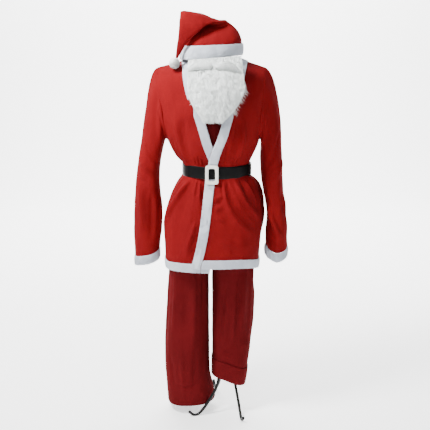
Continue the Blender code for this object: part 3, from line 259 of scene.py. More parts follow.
def surface(name, dark, light, roughness, blotch=9.0, grain=(900.0, 900.0, 450.0), grain_dark=0.72,
            bump=0.0004, strength=0.5, broad=0.0, **sockets):
    """Blotched colour, a fine grain that darkens and raises it, and a broad unevenness."""
    m = bpy.data.materials.new(name)
    m.use_nodes = True
    nt = m.node_tree
    shader = nt.nodes["Principled BSDF"]
    shader.inputs["Roughness"].default_value = roughness
    for socket, value in sockets.items():
        shader.inputs[socket.replace("_", " ")].default_value = value
    large = noise_node(nt, stretched(nt, (1, 1, 0.6)), blotch, 4.0)
    ramp = colour_ramp(nt, dark, light)
    nt.links.new(large, ramp.inputs["Fac"])
    fine = noise_node(nt, stretched(nt, grain), 1.0, 2.0)
    speck = colour_ramp(nt, (grain_dark,) * 3, (1.0, 1.0, 1.0), 0.32, 0.62)
    nt.links.new(fine, speck.inputs["Fac"])
    colour = mixed(nt, ramp.outputs["Color"], speck.outputs["Color"], 0.6)
    nt.links.new(colour, shader.inputs["Base Color"])
    normal = bumped(nt, fine, bump, strength)
    if broad:
        lumps = noise_node(nt, stretched(nt, (1, 1, 1)), 70.0, 3.0)
        normal = bumped(nt, lumps, broad, 0.6, normal)
    nt.links.new(normal, shader.inputs["Normal"])
    return m


red = surface("red_brushed_cloth", (0.140, 0.0052, 0.0068), (0.180, 0.0066, 0.0084), 0.9, broad=0.0016,
              Sheen_Weight=0.03, Sheen_Roughness=0.5, Sheen_Tint=(1, 0.08, 0.08, 1),
              Specular_IOR_Level=0.03)
# Painted shade: a darker copy of the suit's red cloth for the trousers, waistband and turn-up, which lie in
# shade under the jacket
shaded_red = surface("red_cloth_painted_shade", (0.077, 0.0048, 0.0060), (0.102, 0.0062, 0.0078), 0.9,
                   broad=0.0018, Sheen_Weight=0.02, Sheen_Roughness=0.5,
                   Sheen_Tint=(1, 0.05, 0.05, 1), Specular_IOR_Level=0.02)
plush = surface("white_plush", (0.54, 0.58, 0.65), (0.68, 0.72, 0.79), 0.95, blotch=22,
                grain=(500, 500, 300), grain_dark=0.80, bump=0.0010, strength=0.6, Sheen_Weight=0.25,
                Specular_IOR_Level=0.15)
# The hair's dark blotches, about 10 mm across, are painted shade between the beard's clumps
hair = surface("white_hair", (0.74, 0.785, 0.77), (0.96, 0.995, 0.975), 0.62, blotch=95,
               grain=(700, 700, 90), grain_dark=0.82, bump=0.0003, strength=0.4, Specular_IOR_Level=0.35)
pompom_white = surface("warm_white_yarn", (0.96, 0.96, 0.93), (0.99, 0.99, 0.97), 0.8, blotch=60,
                       grain=(700, 700, 700), grain_dark=0.85, strength=0.4)
# The backing under the beard and inside the moustache is darker than the hair: painted shade that shows
# between the locks
hair_base = surface("hair_backing_painted_shade", (0.52, 0.56, 0.55), (0.74, 0.78, 0.76), 0.9, blotch=95,
                    grain=(500, 500, 80), grain_dark=0.7, bump=0.0010, strength=0.6)
belt_black = surface("black_grained_strap", (0.0022, 0.0022, 0.0024), (0.0040, 0.0039, 0.0042), 0.45,
                     blotch=14, grain=(800, 800, 800), grain_dark=0.6, bump=0.0003,
                     strength=0.35, Specular_IOR_Level=0.10)
buckle_cream = surface("cream_gloss_plastic", (0.74, 0.74, 0.68), (0.82, 0.82, 0.76), 0.22, blotch=25,
                       grain=(60, 60, 60), grain_dark=0.95, bump=0.0002, strength=0.15,
                       Coat_Weight=0.3, Coat_Roughness=0.12)
linen = surface("linen_cover", (0.50, 0.45, 0.37), (0.60, 0.55, 0.46), 0.9, blotch=12,
                grain=(600, 600, 1200), grain_dark=0.7, strength=0.6)
wood = surface("turned_wood", (0.10, 0.040, 0.018), (0.20, 0.085, 0.035), 0.35, blotch=16,
               grain=(220, 220, 18), grain_dark=0.6, bump=0.0002, strength=0.3, Coat_Weight=0.4,
               Coat_Roughness=0.2)
iron = surface("black_forged_iron", (0.0045, 0.0045, 0.0048), (0.0085, 0.0082, 0.0080), 0.45, blotch=30,
               grain=(160, 160, 120), grain_dark=0.65, Specular_IOR_Level=0.22)
thread_red = surface("dark_red_thread", (0.16, 0.008, 0.008), (0.22, 0.012, 0.012), 0.6, blotch=60)


# Cloth: each panel's own solid, refined, with its creases and unevenness pressed in

def read(items, name, width, kind):
    """A mesh's numbers as an array with width columns."""
    values = np.zeros(len(items) * width, kind)
    items.foreach_get(name, values)
    return values.reshape(-1, width)


def quad_normals(p):
    """Each quad's normal, twice as long as its area is large."""
    return np.cross(p[:, 2] - p[:, 0], p[:, 3] - p[:, 1])


class Panel:
    def __init__(self, node, level, crease=1.0, sharp=50.0):
        self.node = node
        bm = bmesh.new()
        bm.from_mesh(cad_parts[node].data)
        bmesh.ops.remove_doubles(bm, verts=bm.verts, dist=0.00002)
        bmesh.ops.join_triangles(bm, faces=bm.faces, angle_face_threshold=math.radians(40),
                                 angle_shape_threshold=math.radians(180))
        layer = bm.edges.layers.float.new("crease_edge")
        for e in bm.edges:
            if len(e.link_faces) == 2 and e.calc_face_angle() > math.radians(sharp):
                e[layer] = crease
        mesh = bpy.data.meshes.new(node + "_cage")
        bm.to_mesh(mesh)
        bm.free()
        cage = bpy.data.objects.new(node + "_cage", mesh)
        bpy.context.scene.collection.objects.link(cage)
        mod = cage.modifiers.new("fine", "SUBSURF")
        mod.levels = mod.render_levels = level
        bpy.context.view_layer.update()
        depsgraph = bpy.context.evaluated_depsgraph_get()
        self.mesh = bpy.data.meshes.new_from_object(cage.evaluated_get(depsgraph))
        bpy.data.objects.remove(cage, do_unlink=True)
        self.co = read(self.mesh.vertices, "co", 3, np.float32).astype(float)
        self.quads = read(self.mesh.polygons, "vertices", 4, np.int32)
        self.edges = read(self.mesh.edges, "vertices", 2, np.int32)

    def at_corners(self, n):
        """The sum, at each vertex, of what its faces have in n."""
        total = np.zeros_like(self.co)
        for k in range(4):
            np.add.at(total, self.quads[:, k], n)
        return total

    def face_on(self, centre):
        """Tells the outside, the lining side and the cut edges apart, and the way out at each vertex."""
        p = self.co[self.quads]
        n = quad_normals(p)
        middle = p.mean(axis=1)
        away = unit(middle - centre(middle))
        side = (unit(n) * away).sum(-1)
        self.side = np.where(side > 0.25, 1, np.where(side < -0.25, -1, 0))
        out = self.at_corners(n * self.side[:, None])
        a, b = self.edges.T
        for _ in range(8):
            size = unit(out)
            total = size.copy()
            np.add.at(total, a, size[b])
            np.add.at(total, b, size[a])
            out = unit(total)
        self.out = out
        rim = np.unique(self.quads[self.side == 0])
        self.edge = np.full(len(self.co), 9.0)
        if len(rim):
            tree = KDTree(len(rim))
            for k, v in enumerate(self.co[rim]):
                tree.insert(v, k)
            tree.balance()
            self.edge = np.array([tree.find(v)[2] for v in self.co])
        return self

    def press(self, amount):
        self.co = self.co + self.out * amount[:, None]
        return self

    def make(self, name, material, slot, sharp=42.0):
        self.mesh.vertices.foreach_set("co", self.co.astype(np.float32).ravel())
        self.mesh.update()
        self.mesh.name = name
        self.mesh.materials.clear()
        self.mesh.materials.append(material)
        self.mesh.shade_smooth()
        self.mesh.set_sharp_from_angle(angle=math.radians(sharp))
        ob = bpy.data.objects.new(name, self.mesh)
        bpy.context.scene.collection.objects.link(ob)
        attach(ob, "root")
        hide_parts(self.node)
        return ob


def creased(angle, z, table, per_degree):
    """Soft troughs and ridges: each runs through three points given as angle and height."""
    s = angle * per_degree
    around = 360 * per_degree
    total = np.zeros(len(s))
    for r in table:
        # a curve whose middle point lies on the line
        mid_a = 2 * r["a1"] - (r["a0"] + r["a2"]) / 2
        mid_z = 2 * r["z1"] - (r["z0"] + r["z2"]) / 2
        points = []
        for t in np.linspace(0, 1, 9):
            w = ((1 - t) ** 2, 2 * t * (1 - t), t * t)
            points.append(((w[0] * r["a0"] + w[1] * mid_a + w[2] * r["a2"]) * per_degree,
                           w[0] * r["z0"] + w[1] * mid_z + w[2] * r["z2"]))
        best = np.full(len(s), 9.0)
        along = np.zeros(len(s))
        hand = np.zeros(len(s))
        for k in range(8):
            (s0, z0), (s1, z1) = points[k], points[k + 1]
            ds = (s - s0 + around / 2) % around - around / 2
            dz = z - z0
            lx, lz = s1 - s0, z1 - z0
            t = np.clip((ds * lx + dz * lz) / (lx * lx + lz * lz), 0, 1)
            ox, oz = ds - t * lx, dz - t * lz
            d = np.hypot(ox, oz)
            near = d < best
            best = np.where(near, d, best)
            along = np.where(near, (k + t) / 8, along)
            hand = np.where(near, np.sign(ox * lz - oz * lx), hand)
        wide = r["wide"] * MM * (0.75 + 0.6 * along)
        wide = wide * np.where(hand > 0, 1 + r["lean"], 1 - r["lean"])
        fade = ease(-0.04, 0.26, along) * (1 - ease(0.55, 1.0, along))
        total = total + r["deep"] * MM * np.exp(-(best / wide) ** 2) * fade
    return total


# Creases: three points as degrees and metres, width and depth in millimetres (a trough's depth is
# negative), and how much wider the crease is on one side
CREASE = "a0 z0 a1 z1 a2 z2 wide deep lean"
JACKET_CREASES = rows(
    CREASE,
    # chest and the cloth bloused over the belt
    (-44, 1.135, -44, 1.057, -40, 0.962, 12, -6, 0.3),
    (-57, 1.14, -52, 1.037, -47, 0.962, 11, 4.5, -0.3),
    (-29, 1.000, -28.5, 0.978, -28, 0.958, 4, -3.5, 0.2),
    (-23, 0.992, -22.5, 0.975, -22, 0.958, 3.5, -3, 0),
    (-35, 0.99, -35, 0.975, -35, 0.958, 4, -3, 0.2),
    (34, 1.135, 31, 1.058, 26, 0.962, 12, -6, -0.3),
    (42, 1.13, 40, 1.04, 35, 0.962, 11, 4.5, 0.3),
    (19, 1.034, 18, 1.000, 17, 0.96, 5, -3, 0),
    (32, 0.995, 31.5, 0.978, 31, 0.958, 4, -3, 0.2),
    (38, 1.000, 38, 0.98, 38, 0.958, 4, -3, 0),
    (-62, 1.06, -66, 1.01, -70, 0.965, 8, -3.5, 0.2),
    (60, 1.05, 62, 1.005, 60, 0.965, 8, -3.5, -0.2),
    (-31, 1.26, -35, 1.17, -33, 1.06, 15, 2.5, 0.2),
    (33, 1.25, 31, 1.18, 28, 1.09, 15, 2.5, -0.2),
    # skirt, wearer's right front
    (-46, 0.912, -60, 0.82, -80, 0.7, 10, 8, 0.3),
    (-37, 0.912, -43, 0.8, -50, 0.64, 17, -8, 0.2),
    (-28, 0.77, -36, 0.697, -42, 0.625, 9, 6, -0.3),
    (-34, 0.914, -33.5, 0.88, -33, 0.842, 5, 4, 0),
    (-27, 0.914, -25, 0.875, -24, 0.835, 5, 4, 0.2),
    (-19, 0.912, -19, 0.85, -19, 0.78, 7, -4, 0),
    (-64, 0.912, -72, 0.87, -80, 0.82, 7, -4, 0.2),
    # skirt, wearer's left front
    (-3, 0.848, 6, 0.857, 17, 0.866, 5, 4.5, 0.3),
    (-1, 0.812, 5, 0.82, 14, 0.827, 5, 4, 0.3),
    (1, 0.785, 8, 0.778, 16, 0.768, 5, 3.5, -0.2),
    (-2, 0.83, 5, 0.836, 13, 0.844, 4, -3, 0),
    (21, 0.916, 32, 0.815, 62, 0.722, 8, -7, 0.3),
    (33, 0.916, 47, 0.82, 76, 0.745, 10, 6.5, -0.2),
    (14, 0.912, 24, 0.8, 60, 0.7, 9, 5, 0.3),
    (3, 0.705, 27, 0.682, 56, 0.664, 14, 3, 0),
    (60, 0.914, 67, 0.903, 76, 0.888, 14, 6, 0),
    (51, 0.912, 56, 0.87, 64, 0.826, 7, 4.5, 0.2),
    (43, 0.912, 46, 0.885, 50, 0.85, 5, -4, 0),
    (10, 0.914, 12, 0.875, 13, 0.836, 5, -4, 0),
    # sides and back
    (88, 0.914, 94, 0.8, 97, 0.64, 9, 7, 0.2),
    (100, 0.914, 104, 0.84, 107, 0.74, 8, -6, 0),
    (122, 0.914, 118, 0.83, 115, 0.7, 10, 6, 0.3),
    (134, 0.914, 136, 0.86, 137, 0.79, 6, -5, 0),
    (150, 0.914, 147, 0.8, 143, 0.63, 12, 7.5, -0.2),
    (163, 0.914, 165, 0.85, 166, 0.76, 8, -6, 0),
    (176, 0.914, 181, 0.8, 187, 0.65, 12, 7, 0.3),
    (188, 0.914, 194, 0.84, 200, 0.73, 9, -6, 0),
    (210, 0.914, 210, 0.83, 214, 0.69, 9, 7, 0.2),
    (225, 0.914, 228, 0.86, 230, 0.79, 6, -5, 0),
    (242, 0.914, 248, 0.8, 252, 0.63, 12, 7, -0.2),
    (262, 0.914, 263, 0.83, 266, 0.73, 9, -6, 0),
    (150, 0.962, 152, 1.01, 157, 1.09, 8, -5, 0.2),
    (170, 0.962, 172, 1.000, 172, 1.06, 6, 4, 0),
    (192, 0.962, 194, 1.02, 200, 1.11, 9, -5.5, 0.2),
    (215, 0.962, 214, 1.000, 210, 1.05, 6, 4, 0),
    (115, 0.962, 112, 1.000, 108, 1.04, 7, -4, 0),
    (248, 0.962, 252, 1.01, 256, 1.05, 8, -5, 0),
    (130, 1.26, 136, 1.18, 138, 1.08, 12, -4, 0.2),
    (228, 1.25, 222, 1.17, 220, 1.07, 12, -4, -0.2))
# On a sleeve 0 is its front, 90 its outer side, -90 the side against the body
SLEEVE_CREASES = {
    "right": rows(
        CREASE,
        (-48, 1.23, -56, 1.14, -66, 1.04, 10, -7, 0.3),
        (-18, 1.21, -28, 1.1, -42, 0.99, 12, 4.5, 0.2),
        (28, 1.04, -8, 0.99, -48, 0.955, 8, -4.5, 0.2),
        (56, 1.01, 16, 0.955, -26, 0.92, 9, 4.5, 0),
        (78, 0.96, 40, 0.908, -4, 0.885, 8, -4, 0.2),
        (36, 0.88, 20, 0.78, 26, 0.66, 14, 4.5, 0.2),
        (-14, 0.86, -20, 0.75, -14, 0.64, 12, -5, 0),
        (-58, 0.82, -62, 0.73, -58, 0.64, 10, 4, 0),
        (66, 0.76, 60, 0.7, 64, 0.64, 9, -3.5, 0),
        (118, 1.06, 150, 0.985, 178, 0.93, 9, -5, 0),
        (165, 0.905, 142, 0.86, 112, 0.838, 9, 3, 0.2),
        (138, 0.79, 150, 0.72, 150, 0.64, 10, -4, 0),
        (200, 1.2, 205, 1.11, 214, 1.01, 11, -5, 0.2)),
    "left": rows(
        CREASE,
        (-44, 1.23, -60, 1.13, -72, 1.02, 10, -7, 0.3),
        (-8, 1.19, -24, 1.08, -46, 0.99, 12, 4, 0.2),
        (44, 1.085, 12, 1.005, -32, 0.935, 8, -4, 0.2),
        (58, 0.985, 20, 0.93, -22, 0.875, 9, 3.4, 0),
        (-62, 0.91, -46, 0.845, -28, 0.8, 9, -5, 0),
        (-36, 0.82, -5, 0.73, 34, 0.655, 9, 6.5, 0.2),
        (-56, 0.8, -28, 0.72, -2, 0.65, 10, -6.5, 0.2),
        (62, 0.86, 50, 0.76, 56, 0.66, 12, 4, 0),
        (30, 0.88, 36, 0.8, 60, 0.74, 8, -3.5, 0),
        (128, 1.05, 155, 0.975, 178, 0.915, 9, -5, 0),
        (165, 0.865, 140, 0.83, 110, 0.808, 9, 3, 0.2),
        (148, 0.77, 160, 0.7, 156, 0.64, 10, -4, 0),
        (200, 1.19, 206, 1.1, 214, 1.000, 11, -5, 0.2))}
# On a leg 0 is its front, 90 its outer side
LEG_CREASES = {
    "right": rows(
        CREASE,
        (35, 0.64, 30, 0.48, 50, 0.26, 9, 7, 0.2),
        (13, 0.64, 6, 0.45, 12, 0.24, 15, -6, 0.2),
        (-10, 0.63, -12, 0.4, -5, 0.18, 10, 4.5, 0),
        (-40, 0.61, -42, 0.45, -40, 0.31, 10, -5, 0),
        (-15, 0.3, -13, 0.18, -10, 0.06, 9, -5, 0.2),
        (20, 0.28, 16, 0.15, 14, 0.04, 8, 4, 0),
        (52, 0.24, 44, 0.15, 40, 0.07, 9, -4, 0.2),
        (-36, 0.15, 2, 0.118, 46, 0.135, 8, -3.5, 0.2),
        (64, 0.56, 70, 0.4, 74, 0.22, 11, -4.5, 0),
        (180, 0.64, 176, 0.45, 170, 0.19, 14, -6, 0.2),
        (150, 0.62, 145, 0.42, 150, 0.13, 11, 6, 0),
        (212, 0.62, 216, 0.4, 210, 0.09, 12, 5, 0.2),
        (120, 0.54, 118, 0.35, 122, 0.18, 10, -5, 0),
        (146, 0.43, 175, 0.405, 206, 0.425, 9, -4, 0.2)),
    "left": rows(
        CREASE,
        (-20, 0.52, -30, 0.39, -46, 0.27, 10, -6.5, 0.2),
        (33, 0.62, 27, 0.43, 18, 0.27, 10, 6, 0.2),
        (8, 0.5, 2, 0.37, -4, 0.26, 8, 4, 0),
        (60, 0.62, 57, 0.55, 55, 0.47, 7, 4, 0),
        (16, 0.6, 12, 0.45, 8, 0.32, 8, -4.5, 0.2),
        (46, 0.52, 46, 0.4, 42, 0.29, 9, -4, 0),
        (-54, 0.275, -12, 0.247, 34, 0.256, 7, -3.5, 0.2),
        (18, 0.285, 50, 0.27, 84, 0.24, 7, 3.5, 0),
        (76, 0.52, 80, 0.4, 78, 0.26, 11, 4.5, 0),
        (180, 0.64, 183, 0.45, 186, 0.25, 14, -6, 0.2),
        (150, 0.62, 152, 0.42, 148, 0.25, 11, 6, 0),
        (212, 0.62, 210, 0.4, 214, 0.25, 12, 5, 0.2),
        (120, 0.54, 118, 0.39, 122, 0.26, 10, -5, 0),
        (146, 0.43, 175, 0.405, 206, 0.425, 9, -4, 0.2))}
# Metres round the cloth per degree, what its creases are deepened by, and how deep a trough may get in mm
JACKET_DRAPE = (0.0026, 1.75, 8.0)
SLEEVE_DRAPE = (0.00105, 1.9, 12.0)
LEG_DRAPE = (0.00145, 1.6, 14.0)
SLEEVE_AXIS = {"left": rows("z x", (0.55, 0.23), (0.7, 0.227), (0.82, 0.2205), (1.00, 0.2035),
                            (1.2, 0.19)),
               "right": rows("z x", (0.55, -0.255), (0.7, -0.2505), (0.82, -0.2465), (1.00, -0.233),
                             (1.2, -0.212))}
LEG_AXIS = {"left": 0.067, "right": -0.0975}
OUTER = {"left": 1.0, "right": -1.0}
BELT_Z = 0.940  # the height of the belt's middle


def body_centre(p):
    c = np.zeros_like(p) + MID
    c[:, 2] = np.minimum(p[:, 2], 1.19)
    return c


def sleeve_centre(side):
    def centre(p):
        c = np.zeros_like(p) + MID
        c[:, 0] += at(SLEEVE_AXIS[side], "x", p[:, 2])
        c[:, 2] = np.minimum(p[:, 2], 1.16)
        return c
    return centre


def leg_centre(side):
    def centre(p):
        c = np.zeros_like(p) + MID
        c[:, 0] += LEG_AXIS[side] * (1 - ease(0.69, 0.76, p[:, 2]))
        c[:, 2] = p[:, 2]
        return c
    return centre


def turned_to(p, centre, outer=1.0):
    """Angle in degrees round the centre line: 0 at the front, 90 on the outer side."""
    d = p - centre(p)
    return np.degrees(np.arctan2(d[:, 0] * outer, -d[:, 1]))


def pressed(angle, z, table, drape):
    """The creases of a table, their troughs kept from reaching what lies under the cloth."""
    per_degree, deeper, most = drape
    lift = deeper * creased(angle, z, table, per_degree)
    return np.where(lift < 0, -most * MM * (1 - np.exp(lift / (most * MM))), lift)


def seam(panel, deep=1.1, wide=2.6, pucker=0.5):
    """Sewn edges sink a little and pucker."""
    p = panel.co
    pull = np.exp(-(panel.edge / (wide * MM)) ** 2)
    ripple = noise(p, 110, 41) * np.exp(-(panel.edge / (7 * MM)) ** 2)
    return -deep * MM * pull + pucker * MM * ripple


pieces = {}


def jacket_panel(node):
    panel = Panel(node, 2 if node == "jacket_back" else 3).face_on(body_centre)
    p = panel.co
    above_hem = ease(0.612, 0.66, p[:, 2])
    loose = 1 - np.exp(-((p[:, 2] - BELT_Z) / 0.019) ** 4)
    lift = pressed(turned_to(p, body_centre), p[:, 2], JACKET_CREASES, JACKET_DRAPE)
    lift = lift * loose * (0.35 + 0.65 * above_hem)
    lift += 2.2 * MM * wrinkles(p, (16, 16, 9), 3) * loose * above_hem
    lift += 0.8 * MM * noise(p, (55, 55, 30), 8) * loose
    shoulder = ease(1.25, 1.31, p[:, 2])
    panel.press(lift * (1 - 0.7 * shoulder) + seam(panel) * loose)
    pieces[node] = panel.make("cloth_" + node, red, "suit_red")


def sleeve_panel(side, face):
    node = "sleeve_%s_%s" % (side, face)
    centre = sleeve_centre(side)
    panel = Panel(node, 3).face_on(centre)
    p = panel.co
    lift = pressed(turned_to(p, centre, OUTER[side]), p[:, 2], SLEEVE_CREASES[side], SLEEVE_DRAPE)
    lift += 1.8 * MM * wrinkles(p, (20, 20, 12), 5)
    lift += 0.5 * MM * noise(p, (60, 60, 35), 9)
    shoulder = ease(1.22, 1.28, p[:, 2])
    panel.press(lift * (1 - 0.6 * shoulder) + seam(panel))
    pieces[node] = panel.make("cloth_" + node, red, "suit_red")


def leg_panel(side, face):
    node = "trouser_%s_%s" % (side, face)
    centre = leg_centre(side)
    panel = Panel(node, 2 if face == "back" else 3).face_on(centre)
    p = panel.co
    b = turned_to(p, centre, OUTER[side])
    below = 1 - ease(0.62, 0.70, p[:, 2])
    off_inside = 1 - 0.8 * ease(55, 80, -b)
    lift = pressed(b, p[:, 2], LEG_CREASES[side], LEG_DRAPE) * below * off_inside
    lift += 1.8 * MM * wrinkles(p, (16, 16, 7), 11) * below * off_inside
    lift += 0.5 * MM * noise(p, (50, 50, 26), 12) * below
    # gathers under the waist's casing
    a = turned_to(p, body_centre)
    wave = np.cos(np.radians(a) * 58 + 2.2 * noise(p, (25, 25, 6), 14))
    lift += 1.2 * MM * wave * ease(0.985, 1.075, p[:, 2])
    under_turn_up = 1 - ease(0.20, 0.235, p[:, 2]) if side == "left" else 0
    panel.press((lift + seam(panel, 0.8)) * (1 - 0.9 * under_turn_up))
    pieces[node] = panel.make("cloth_" + node, shaded_red, "trouser_red")


for node in ("jacket_back", "jacket_front_left", "jacket_front_right"):
    jacket_panel(node)
for side in ("left", "right"):
    for face in ("front", "back"):
        sleeve_panel(side, face)
        leg_panel(side, face)


def waistband():
    panel = Panel("trouser_waistband", 2).face_on(body_centre)
    p = panel.co
    a = np.radians(turned_to(p, body_centre))
    middle = np.exp(-((p[:, 2] - 1.128) / 0.011) ** 2)
    panel.press(MM * (np.cos(a * 58 + 1.5 * noise(p, 20, 15)) + 0.5 * np.cos(a * 131) + 1.2 * middle))
    pieces["trouser_waistband"] = panel.make("cloth_waistband", shaded_red, "trouser_red")


def turn_up():
    panel = Panel("turn_up_left", 2, crease=0.8).face_on(leg_centre("left"))
    p = panel.co
    lift = 1.6 * MM * wrinkles(p, (18, 18, 40), 21) + 0.5 * MM * noise(p, 70, 22)
    b = turned_to(p, leg_centre("left"))
    panel.press(lift * (1 - 0.9 * ease(60, 80, -b)))
    pieces["turn_up_left"] = panel.make("cloth_turn_up", shaded_red, "trouser_red")


waistband()
turn_up()


# Hat: its centre line goes up the crown and down the flap
HAT_LINE = ((-0.008, 0.000, 1.342), (-0.007, 0.000, 1.381), (-0.009, -0.002, 1.407),
            (-0.018, -0.002, 1.43), (-0.028, -0.008, 1.45), (-0.037, -0.022, 1.472),
            (-0.05, -0.042, 1.477), (-0.066, -0.062, 1.471), (-0.082, -0.075, 1.448),
            (-0.096, -0.075, 1.423), (-0.113, -0.066, 1.392), (-0.1255, -0.057, 1.361),
            (-0.134, -0.052, 1.336))


def hat_centre(p):
    line = np.array(HAT_LINE) + MID
    fine = np.concatenate([line[k] + (line[k + 1] - line[k]) * np.linspace(0, 1, 6)[:, None]
                           for k in range(len(line) - 1)])
    best = np.argmin(((p[:, None] - fine[None]) ** 2).sum(-1), axis=1)
    c = fine[best]
    # across the hat its sections are wide, so the centre slides towards the point
    c[:, 0] += np.clip(p[:, 0] - c[:, 0], -0.08, 0.08) * np.where(c[:, 2] < 1.44, 0.55, 0.3)
    return c


def hat_half(face):
    node = "hat_" + face
    panel = Panel(node, 3).face_on(hat_centre)
    p = panel.co
    flap = ease(0.035, 0.060, MID[1] - p[:, 1])
    lift = 3.0 * MM * wrinkles(p, (12, 20, 46), 31) * (1 - flap)
    lift += 2.2 * MM * wrinkles(p, (38, 20, 12), 33) * flap
    lift += 0.4 * MM * noise(p, 60, 34)
    panel.press(lift * ease(1.385, 1.40, p[:, 2]) + seam(panel, 0.6))
    pieces[node] = panel.make("cloth_" + node, red, "suit_red")


hat_half("front")
hat_half("back")


# Plush: soft strips and rings under a short brushed pile

def tuft_mesh(name, roots, tips, thick, material):
    """One three-sided tuft from each root to its tip."""
    n = len(roots)
    along = unit(tips - roots)
    helper = np.where(np.abs(along[:, 2:3]) < 0.9, np.array([[0, 0, 1.0]]), np.array([[1.0, 0, 0]]))
    u = unit(np.cross(along, helper))
    v = np.cross(along, u)
    points = np.zeros((n, 4, 3))
    for k in range(3):
        turn = 2 * math.pi * k / 3
        points[:, k] = roots + (u * math.cos(turn) + v * math.sin(turn)) * thick[:, None]
    points[:, 3] = tips
    corners = np.array([(0, 1, 3), (1, 2, 3), (2, 0, 3)])
    faces = np.arange(n)[:, None, None] * 4 + corners
    return mesh_object(name, points.reshape(-1, 3), faces.reshape(-1, 3), material)


def mesh_object(name, points, faces, material):
    mesh = bpy.data.meshes.new(name)
    mesh.vertices.add(len(points))
    mesh.vertices.foreach_set("co", np.asarray(points, np.float32).ravel())
    size = faces.shape[1]
    mesh.loops.add(len(faces) * size)
    mesh.loops.foreach_set("vertex_index", faces.astype(np.int32).ravel())
    mesh.polygons.add(len(faces))
    mesh.polygons.foreach_set("loop_start", np.arange(len(faces), dtype=np.int32) * size)
    mesh.update(calc_edges=True)
    mesh.validate()
    mesh.shade_smooth()
    mesh.materials.append(material)
    ob = bpy.data.objects.new(name, mesh)
    bpy.context.scene.collection.objects.link(ob)
    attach(ob, "root")
    return ob


def scattered(panel, per_mm2):
    """Random places on a panel's outside and edges, with the way out there."""
    p = panel.co[panel.quads[panel.side >= 0]]
    area = np.linalg.norm(quad_normals(p), axis=1) / 2
    count = int(area.sum() * 1e6 * per_mm2)
    pick = rng.choice(len(p), count, p=area / area.sum())
    s, t = rng.random((2, count, 1))
    q = p[pick]
    place = (q[:, 0] * (1 - s) + q[:, 1] * s) * (1 - t) + (q[:, 3] * (1 - s) + q[:, 2] * s) * t
    return place, unit(quad_normals(q))


def covers():
    """What lies over plush bands, for leaving out the pile that it hides."""
    bm = bmesh.new()
    for node in ("jacket_front_left", "jacket_front_right", "sleeve_left_front", "sleeve_right_front"):
        bm.from_mesh(pieces[node].data)
    bm.from_mesh(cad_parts["belt_strap"].data)
    bm.from_mesh(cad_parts["front_band_left"].data)
    tree = BVHTree.FromBMesh(bm)
    bm.free()
    return tree


def pile(name, panel, length, comb):
    """Short tufts that lean the way the plush is brushed, length in mm."""
    place, n = scattered(panel, 0.34)
    clear = np.array([over_plush.ray_cast(Vector(q + m * 0.4 * MM), Vector(m), 14 * MM)[0] is None
                      for q, m in zip(place, n)])
    place, n = place[clear], n[clear]
    lean = unit(n * 0.55 + np.array(comb) + 0.45 * swirl(place, 45, 51)
                + 0.45 * rng.normal(size=place.shape))
    lean = np.where((lean * n).sum(-1, keepdims=True) < 0.12, unit(lean + n * 0.5), lean)
    reach = length * MM * (0.55 + 0.75 * rng.random((len(place), 1)))
    thick = 0.55 * MM * (0.7 + 0.6 * rng.random(len(place)))
    return tuft_mesh(name, place - n * 0.2 * MM, place + lean * reach, thick, plush)


def plush_piece(node, centre, seed, soft, length=2.6, comb=(0.0, 0.0, -0.5)):
    panel = Panel(node, 2, crease=0.45).face_on(centre)
    p = panel.co
    panel.press(soft * MM * wrinkles(p, (26, 26, 22), seed) + 0.5 * MM * noise(p, 120, seed + 3))
    pieces[node] = panel.make("plush_" + node, plush, "plush_white", sharp=80.0)
    pile("pile_" + node, panel, length, comb)


over_plush = covers()
for node in ("front_band_left", "front_band_right", "hem_band_left", "hem_band_right", "hem_band_back",
             "neck_band_back"):
    plush_piece(node, body_centre, 61, soft=0.7)
for side in ("left", "right"):
    plush_piece("cuff_" + side, sleeve_centre(side), 71, soft=2.2, length=4.0)


def hat_band_centre(p):
    c = np.zeros_like(p) + MID + np.array([-0.0075, 0, 0])
    c[:, 2] = p[:, 2]
    return c


plush_piece("hat_band", hat_band_centre, 81, soft=1.5, length=2.8, comb=(0.2, 0.0, -0.25))


# Beard, moustache and pompom. How far the beard stands before the form's axis:
BEARD = rows("z front", (1.12, 0.152), (1.15, 0.158), (1.18, 0.16), (1.21, 0.158), (1.24, 0.15),
             (1.27, 0.138), (1.3, 0.12), (1.34, 0.0935))
# How far the hair reaches to each side, a little inside the beard's solid
HAIR_EDGE = rows("z left right",
                 (1.12, 0.018, 0.035), (1.135, 0.03, 0.041), (1.15, 0.047, 0.05), (1.166, 0.061, 0.063),
                 (1.183, 0.074, 0.074), (1.2, 0.084, 0.083), (1.217, 0.092, 0.088), (1.234, 0.101, 0.091),
                 (1.25, 0.1, 0.092), (1.284, 0.096, 0.092), (1.3, 0.093, 0.092), (1.34, 0.091, 0.091))


def hat_edge(x):
    """The height of the hat band's lower edge, which rises to the wearer's left."""
    return 1.330 + (x + 0.122) / 0.217 * 0.017


def hair_edge(side, z):
    """How far the hair reaches at height z, on the side that side's sign tells."""
    return np.where(side >= 0, at(HAIR_EDGE, "left", z), at(HAIR_EDGE, "right", z))


def beard_front(x, z):
    return -at(BEARD, "front", z) * np.sqrt(np.maximum(1 - (np.abs(x) / 0.205) ** 2, 0.05))


def ribbons(name, paths, width, facing):
    """Flat curved strands: paths is strands by points by 3, width tapers to each end."""
    n, m = paths.shape[:2]
    along = unit(np.gradient(paths, axis=1))
    side = unit(np.cross(along, facing))
    t = np.linspace(0, 1, m)[None, :, None]
    half = width[:, None, None] * (1 - 0.85 * t ** 2.5) * (0.6 + 0.4 * np.minimum(t * 6, 1))
    points = np.stack([paths - side * half, paths + side * half], axis=2)
    base = (np.arange(n)[:, None] * m + np.arange(m - 1)[None]) * 2
    faces = np.stack([base, base + 1, base + 3, base + 2], -1).reshape(-1, 4)
    return mesh_object(name, points.reshape(-1, 3), faces, hair)


